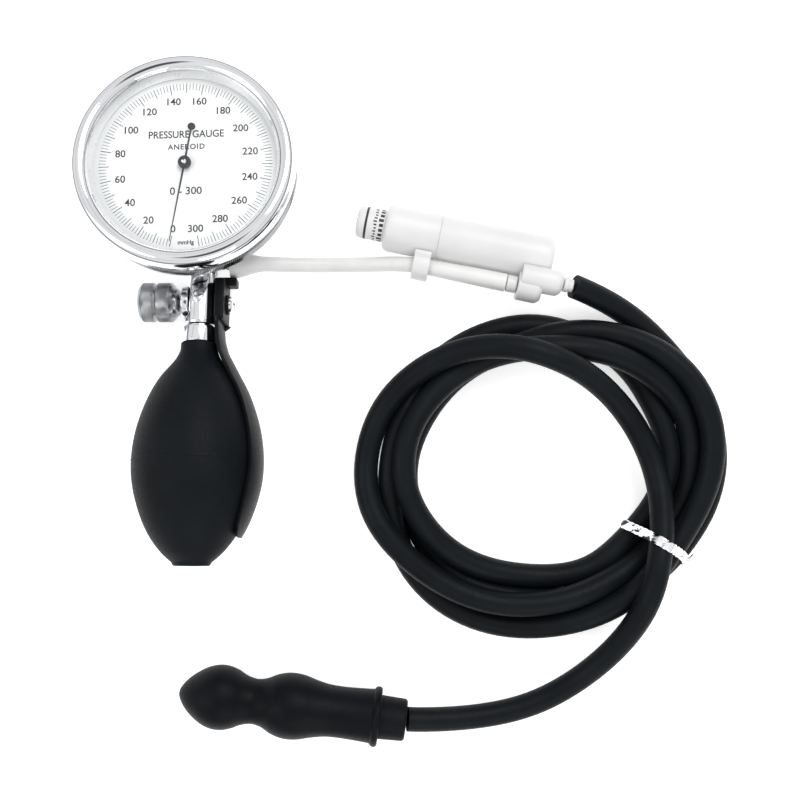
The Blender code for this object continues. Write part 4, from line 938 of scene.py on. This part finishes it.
def diamond(r, z, a):
    """Diamond knurl on the knob's two bands."""
    if r < 6.3 or not (9.25 < z < 13.3 or 14.8 < z < 18.2):
        return r
    def tri(x):
        return abs((x % 1.0) - 0.5) * 2
    u = 44 * a / (2 * math.pi)
    q = z / 0.9
    return r - 0.26 * (1 - min(tri(u + q), tri(u - q)))


kp = [(0, 19.35), (4.4, 19.35), (4.7, 19.27), (5.25, 19.33), (5.55, 19.25), (6.3, 18.45), (6.42, 18.25)]
kp += [(6.45, 18.15 - 3.3 * k / 15) for k in range(16)]
kp += [(6.3, 14.65), (6.05, 14.4), (6.05, 13.75), (6.3, 13.5)]
kp += [(6.45, 13.3 - 3.95 * k / 18) for k in range(19)]
kp += [(6.4, 9.2), (5.5, 8.35), (5.3, 8.22), (4.75, 8.2)]
kp += curve_pts([(4.72, 8.1), (4.7, 7.75), (4.4, 7.2), (3.85, 6.75), (3.2, 6.48)], 4)
kp += [(2.35, 6.46), (2.35, 11.5), (0, 11.5)]
lathe("knob", kp, 264, VALVE, "chrome_knurl", "knob", ("release_knob",), radius=diamond, sharp=24)
lathe("spindle", fillet([(0, 11.1), (2.0, 11.1), (2.0, 6.9), (1.8, 6.75), (1.8, 6.4), (2.0, 6.25),
                         (2.0, 3.6), (1.3, 3.1), (0.3, 0.9), (0, 0.9)], 0.12, 2), 48, VALVE, "steel",
      "spindle", ("valve_spindle",))

# ------------------------------------------------------------------ squeeze bulb
BULB_PROFILE = [
    (-53.45, 5.80), (-55.6, 5.95), (-58.3, 7.05), (-61.0, 9.0), (-64.2, 11.5), (-68.0, 13.75),
    (-72.1, 15.6), (-76.3, 17.1), (-80.6, 18.3), (-84.5, 19.05), (-88.3, 19.5), (-92.8, 19.65),
    (-97.8, 19.25), (-103.5, 18.0), (-110.3, 15.6),
    (-115.2, 13.0), (-119.5, 9.7), (-121.6, 7.5), (-122.6, 6.3)]
smooth_profile = curve_pts(BULB_PROFILE, 8)


def bulb_radius(v):
    for (v0, r0), (v1, r1) in zip(smooth_profile, smooth_profile[1:]):
        if v1 <= v <= v0:
            return r0 + (r1 - r0) * (v0 - v) / (v0 - v1)
    return smooth_profile[-1][1]


SEAM_V = -91.5
outer = [(r, v - NECK_V) for v, r in smooth_profile]
END = -123.8 - NECK_V
outer += [(5.95, END + 0.7), (5.75, END + 0.3), (5.45, END + 0.06), (5.0, END), (4.7, END + 0.1),
          (4.55, END + 0.4)]
inner = [(4.55, END + 5.6), (6.0, END + 8.0), (9.6, END + 12.0), (14.8, END + 22.0), (17.2, END + 31.0),
         (15.6, END + 45.0), (11.0, END + 56.0), (6.4, END + 62.0), (3.55, -5.0), (3.55, -0.25),
         (3.8, 0.0), (5.5, 0.0)]


def bulb_wobble(r, z, a):
    if r < 5.9 or z < END + 1.2:
        return r
    v = z + NECK_V
    seam = 0.10 * math.exp(-((v - SEAM_V) / 0.28) ** 2)
    mould = 0.05 * math.exp(-((math.sin(a - 0.3)) / 0.022) ** 2)
    return r + seam + mould + 0.035 * math.sin(3 * a + v * 0.11) - 0.03


bulb_pts = []
for p, q in zip(outer, outer[1:]):
    k_ = 3 if abs(p[1] + NECK_V - SEAM_V) < 2.5 else 1
    for i in range(k_):
        bulb_pts.append((p[0] + (q[0] - p[0]) * i / k_, p[1] + (q[1] - p[1]) * i / k_))
bulb_pts.append(outer[-1])
lathe("bulb", bulb_pts + inner, 120, BULB, "bulb_rubber", replaces=("squeeze_bulb",), closed=True,
      radius=bulb_wobble, sharp=50)
lathe("inlet_ring", fillet([(1.75, END + 5.4), (4.2, END + 5.4), (4.2, END + 0.5), (3.8, END + 0.2),
                            (2.4, END + 0.2), (2.1, END + 0.5), (1.0, END + 0.5), (1.0, END + 1.4),
                            (1.75, END + 2.2)], 0.12, 2, True), 64, BULB, "steel",
      replaces=("inlet_valve",), closed=True)

# ------------------------------------------------------------------ hand guard
GUARD = [  # v, distance of the inner face (0: follows the bulb), half height, roundness
    (-45.3, 5.6, 6.0, 0.0), (-48.3, 6.2, 6.0, 0.1), (-52.5, 6.9, 6.0, 0.25), (-57.0, 8.3, 6.0, 0.5),
    (-61.0, 10.5, 6.2, 0.8), (-66.0, 0, 6.6, 1.0), (-71.0, 0, 7.3, 1.0), (-76.5, 0, 8.1, 1.0),
    (-82.0, 0, 8.7, 1.0), (-87.0, 0, 9.0, 1.0), (-92.5, 0, 9.2, 1.0), (-98.0, 0, 9.2, 1.0),
    (-103.0, 0, 8.8, 1.0), (-107.5, 0, 8.0, 1.0), (-111.0, 0, 6.8, 1.0), (-113.4, 0, 5.2, 1.0),
    (-114.6, 0, 3.0, 1.0)]


def guard_rows():
    fixed = []
    for v, d, h, k in GUARD:
        fixed.append((v, d if d else bulb_radius(v) + 0.55, h, k))
    vs = [f[0] for f in fixed]
    out = []
    n_ = 72
    for i in range(n_ + 1):
        v = vs[0] + (vs[-1] - vs[0]) * (1 - (1 - i / n_) ** 1.35)
        j = max(k for k in range(len(vs) - 1) if vs[k] >= v or k == 0)
        f = (vs[j] - v) / (vs[j] - vs[j + 1])
        f = min(max(f, 0), 1)
        g = f * f * (3 - 2 * f) * 0.5 + f * 0.5
        d = fixed[j][1] + (fixed[j + 1][1] - fixed[j][1]) * f
        if v < -66.0:
            d = bulb_radius(v) + 0.55
        out.append((v, d, fixed[j][2] + (fixed[j + 1][2] - fixed[j][2]) * g,
                    fixed[j][3] + (fixed[j + 1][3] - fixed[j][3]) * g))
    return out


bm = bmesh.new()
rows, CROSS = [], 26
for v, d, h, k in guard_rows():
    off = 0.0
    row = []
    for j in range(CROSS + 1):
        w_ = h * math.sin(math.pi / 2 * (-1 + 2 * j / CROSS))
        w_ = min(max(w_, -d * 0.98), d * 0.98)
        u_ = (1 - k) * d + k * math.sqrt(d * d - w_ * w_)
        row.append(bm.verts.new(UNIT @ Vector(((u_ - off) * mm, v * mm, w_ * mm))))
    rows.append(row)
for a, b in zip(rows, rows[1:]):
    for j in range(CROSS):
        bm.faces.new((a[j], b[j], b[j + 1], a[j + 1]))
bm.normal_update()
ctr = UNIT @ Vector((0, -90 * mm, 0))
flip = sum((f.calc_center_median() - ctr).dot(f.normal) for f in bm.faces) < 0
if flip:
    bmesh.ops.reverse_faces(bm, faces=bm.faces)
me = bpy.data.meshes.new("guard_blade")
bm.to_mesh(me)
bm.free()
blade = piece("guard_blade", me, "guard_black", replaces=("hand_guard",), sharp=0)
m_ = blade.modifiers.new("thickness", 'SOLIDIFY')
m_.thickness = 1.3 * mm
m_.offset = 1.0
m_.use_even_offset = True
m_ = blade.modifiers.new("rounded", 'BEVEL')
m_.width = 0.42 * mm
m_.segments = 3
m_.limit_method = 'ANGLE'
m_.angle_limit = math.radians(50)
bm = bmesh.new()
box_bm(bm, (3.0, 13.5, 12.0), (6.9, -39.6, 0), UNIT, 0.6, 4)
box_bm(bm, (6.4, 2.8, 5.0), (8.3, -32.6, -1.6), UNIT, 0.7, 4)
lathe_bm(bm, fillet([(0, 7.0), (3.2, 7.0), (3.2, 9.3), (0, 9.3)][::-1], 0.4, 3), 48, SCREW)
piece("guard_foot", to_mesh("guard_foot", bm), "guard_black", replaces=("hand_guard",), sharp=40)
head = lathe_mesh("head", curve_pts([(0, 10.9), (1.0, 10.84), (1.95, 10.6), (2.55, 10.2)], 4)
                  + [(2.7, 9.95), (2.7, 9.4), (1.45, 9.4), (1.45, 3.7), (0, 3.6)], 64, SCREW)
slot1 = box_mesh("slot1", (0.55, 3.6, 1.2), (0, 0, 10.85), SCREW)
slot2 = box_mesh("slot2", (3.6, 0.55, 1.2), (0, 0, 10.85), SCREW)
piece("cross_screw", boolean_mesh("cross_screw", head, [slot1, slot2], ['DIFFERENCE'] * 2), "chrome",
      replaces=("guard_screw",), sharp=30)

# ------------------------------------------------------------------ indicator capsule
FRONT, REAR, SL = -28.35, 27.4, -10.3
R_ = 7.85
body = curve_pts([(0, REAR), (3.0, REAR), (5.3, REAR - 0.05), (6.6, REAR - 0.45), (7.4, REAR - 1.25),
                  (7.72, REAR - 2.4), (7.75, REAR - 4.0)], 4)
body += [(7.75, SL + 0.25), (7.70, SL + 0.04), (6.6, SL + 0.02), (6.6, SL - 6.0), (5.6, SL - 6.0),
         (5.6, 20.0), (0, 20.0)]
lathe("capsule", body, 120, CAP @ ALONG_X, "white_plastic", replaces=("capsule_body",), sharp=40)
slp = [(6.95, SL - 0.02), (7.76, SL - 0.03), (7.85, SL - 0.2), (7.85, FRONT + 3.0)]
slp += curve_pts([(7.85, FRONT + 2.6), (7.7, FRONT + 1.5), (7.2, FRONT + 0.65), (6.4, FRONT + 0.15),
                  (5.9, FRONT + 0.03)], 4)
slp += [(5.62, FRONT + 0.1), (5.55, FRONT + 0.4), (5.55, FRONT + 3.0), (6.95, FRONT + 4.0)]
lathe("nose_sleeve", slp, 120, CAP @ ALONG_X, "white_plastic", replaces=("front_sleeve",),
      closed=True, sharp=40)

cy_, cz_ = TY, TZ
ri, ro = 3.45, 4.75
arc = [math.radians(64 + (256 - 64) * i / 22.0) for i in range(23)]
outl = [(-5.9, 4.9), (-6.1, 6.35), (-7.2, 6.75)]
outl += [(cy_ + ro * math.cos(a), cz_ + ro * math.sin(a)) for a in arc]
inn = [(cy_ + ri * math.cos(a), cz_ + ri * math.sin(a)) for a in arc[::-1]]
outl += inn + [(-7.6, 3.6), (-7.3, 2.6), (-6.9, 2.4)]
b = bmesh.new()
lo_, hi_ = [], []
for y_, z_ in outl:
    lo_.append(b.verts.new((-2.7 * mm, y_ * mm, z_ * mm)))
    hi_.append(b.verts.new((2.7 * mm, y_ * mm, z_ * mm)))
b.faces.new(lo_)
b.faces.new(hi_[::-1])
for i in range(len(outl)):
    j = (i + 1) % len(outl)
    b.faces.new((lo_[i], hi_[i], hi_[j], lo_[j]))
bmesh.ops.recalc_face_normals(b, faces=b.faces)
rim = [e_ for e_ in b.edges if abs(e_.verts[0].co.x - e_.verts[1].co.x) < 1e-7]
bmesh.ops.bevel(b, geom=rim, offset=0.28 * mm, segments=3, profile=0.5, affect='EDGES')
me = bpy.data.meshes.new("tube_clip")
b.to_mesh(me)
b.free()
me.transform(CAP @ T(CLIP_X, 0, 0))
piece("tube_clip", me, "white_plastic", replaces=("front_sleeve",), sharp=35)

OUT = 9.35
PLG = CAP @ T(FRONT, 0, 0) @ OUT_LEFT
pp = curve_pts([(0, OUT), (2.2, OUT), (3.7, OUT - 0.12), (4.6, OUT - 0.55), (5.05, OUT - 1.3),
                (5.2, OUT - 2.2)], 5)
pp += [(5.2, 6.5), (5.12, 6.45), (5.12, 5.75), (5.2, 5.7), (5.2, -13.6), (1.2, -13.6), (1.2, -17.0),
       (0, -17.0)]
lathe("plunger", pp, 96, PLG, "white_plastic", "plunger", ("indicator_plunger",), sharp=35)
lathe("plunger_ring", [(5.21, 6.47), (5.21, 5.73), (5.0, 5.73), (5.0, 6.47)], 96, PLG, "print_black",
      "plunger", closed=True, slot="indicator_plunger")
bm = bmesh.new()


def ring_dash(z0, z1, a0, a1, r0=5.12, r1=5.215):
    n_ = max(2, int((a1 - a0) / math.radians(4)) + 1)
    grid = []
    for i in range(n_ + 1):
        a = a0 + (a1 - a0) * i / n_
        grid.append([bm.verts.new(PLG @ Vector((r_ * mm * math.cos(a), r_ * mm * math.sin(a), z_ * mm)))
                     for r_, z_ in ((r0, z0), (r1, z0), (r1, z1), (r0, z1))])
    for a, b_ in zip(grid, grid[1:]):
        for j in range(4):
            bm.faces.new((a[j], a[(j + 1) % 4], b_[(j + 1) % 4], b_[j]))
    bm.faces.new(grid[0][::-1])
    bm.faces.new(grid[-1])


# graduations round the plunger: a fine row and a heavier row near the sleeve
for k in range(30):
    a = math.radians(12 * k)
    tall = 1.15 if k % 5 == 0 else (0.95 if k % 2 else 0.7)
    ring_dash(2.6, 2.6 + tall, a, a + math.radians(5.5))
for k in range(20):
    a = math.radians(18 * k + 4)
    ring_dash(0.45, 1.75 if k % 4 else 2.05, a, a + math.radians(11))
piece("plunger_marks", to_mesh("plunger_marks", bm), "print_black", "plunger",
      slot="indicator_plunger", sharp=20)


def helix(name, radius, wire, x0, x1, turns, mat4, per=28):
    bm_ = bmesh.new()
    prev = None
    n_ = turns * per
    for i in range(n_ + 1):
        a = 2 * math.pi * i / per
        c = Vector((x0 + (x1 - x0) * i / n_, radius * math.cos(a), radius * math.sin(a)))
        rad = Vector((0, math.cos(a), math.sin(a)))
        ring_ = [bm_.verts.new(mat4 @ ((c + (rad * math.cos(t) + Vector((1, 0, 0)) * math.sin(t)) * wire)
                                       * mm)) for t in [2 * math.pi * j / 8 for j in range(8)]]
        if prev:
            for j in range(8):
                bm_.faces.new((prev[j], prev[(j + 1) % 8], ring_[(j + 1) % 8], ring_[j]))
        else:
            bm_.faces.new(ring_[::-1])
        prev = ring_
    bm_.faces.new(prev)
    return to_mesh(name, bm_)


spring = piece("return_spring", helix("return_spring", 3.6, 0.34, FRONT + 14.2, 19.2, 8, CAP),
               "spring_steel", replaces=("plunger_spring",), sharp=0)
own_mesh(spring)

# ------------------------------------------------------------------ manifold and spigots
SPP, SPZ = -7.7, 12.9 - CAPZ
up = lathe_mesh("up", curve_pts([(0, 31.7), (1.7, 31.7), (2.7, 31.5), (3.6, 30.9), (4.15, 30.0),
                                 (4.35, 29.0)], 4) + [(4.35, 18.6), (4.1, 18.0), (0, 18.0)], 80,
                CAP @ T(0, SPP, SPZ) @ ALONG_X)
low = lathe_mesh("low", [(0, 25.4), (3.4, 25.4), (3.75, 25.25), (4.65, 24.0), (4.75, 23.7),
                         (4.75, 17.8), (4.45, 17.42), (0, 17.4)], 80,
                 CAP @ T(0, CONN_P, CONN_Z - CAPZ) @ ALONG_X)
seat = lathe_mesh("seat", [(0, 40), (8.0, 40), (8.0, 10), (0, 10)], 120, CAP @ ALONG_X)
piece("manifold", boolean_mesh("manifold", up, [low, seat], ['UNION', 'DIFFERENCE']), "white_plastic",
      replaces=("manifold_block",), sharp=35)
lathe("connector", fillet([(0, 17.1), (2.75, 17.1), (2.75, 14.2), (2.65, 13.92), (0, 13.9)], 0.15, 3), 72,
      CAP @ T(0, CONN_P, CONN_Z - CAPZ) @ ALONG_X, "white_plastic", replaces=("tube_connector",))
lathe("hose_spigot", [(0, 35.0), (1.9, 35.0), (2.1, 34.8), (2.1, 33.6), (2.3, 33.5), (2.42, 33.2),
                      (2.42, 32.3), (2.3, 32.0), (0, 32.0)], 72, CAP @ T(0, SPP, SPZ) @ ALONG_X,
      "white_plastic", replaces=("hose_barb",), sharp=30)

# ------------------------------------------------------------------ probe
PROBE = [
    (0.0, 0.0), (0.2, 1.15), (0.8, 2.4), (1.9, 3.95), (3.8, 5.9), (6.4, 7.9), (9.3, 9.45),
    (12.3, 10.2), (15.2, 10.15), (18.2, 9.3), (21.2, 7.85), (24.5, 7.1), (27.6, 7.65), (31.0, 9.3),
    (34.0, 10.2), (36.8, 10.45), (40.0, 10.15), (44.0, 9.1), (48.0, 8.3), (52.0, 8.05),
    (57.0, 8.15), (61.5, 8.4)]
pr = [(r, x) for x, r in curve_pts(PROBE, 6)]
pr += curve_pts([(8.5, 62.4), (8.62, 63.0), (9.1, 63.35), (9.42, 63.9), (9.5, 64.45), (9.3, 65.1),
                 (8.85, 65.45), (8.3, 65.5)], 3)
pr += [(7.6, 65.45), (7.25, 65.1), (7.0, 60.0), (6.3, 50.0), (6.3, 42.0), (5.3, 27.0), (5.3, 9.0),
       (3.4, 7.0), (0, 6.6)]


def probe_shape(r, z, a):
    if z < 1 or r < 6.9 or z > 65.2:
        return r
    line = 0.07 * math.exp(-(math.sin(a - math.pi / 2) / 0.02) ** 2)
    return r + line + 0.03 * math.sin(2 * a + z * 0.2) - 0.03


lathe("probe_skin", pr, 120, PRB @ ALONG_X, "probe_rubber", replaces=("probe_sleeve",),
      radius=probe_shape, sharp=50)
lathe("probe_end", fillet([(1.9, 74.0), (6.1, 74.0), (6.6, 73.4), (6.85, 66.4), (6.9, 63.8),
                           (1.9, 63.8)], 0.3, 3, True), 96, PRB @ ALONG_X, "bulb_rubber",
      replaces=("probe_collar",), closed=True, sharp=40)
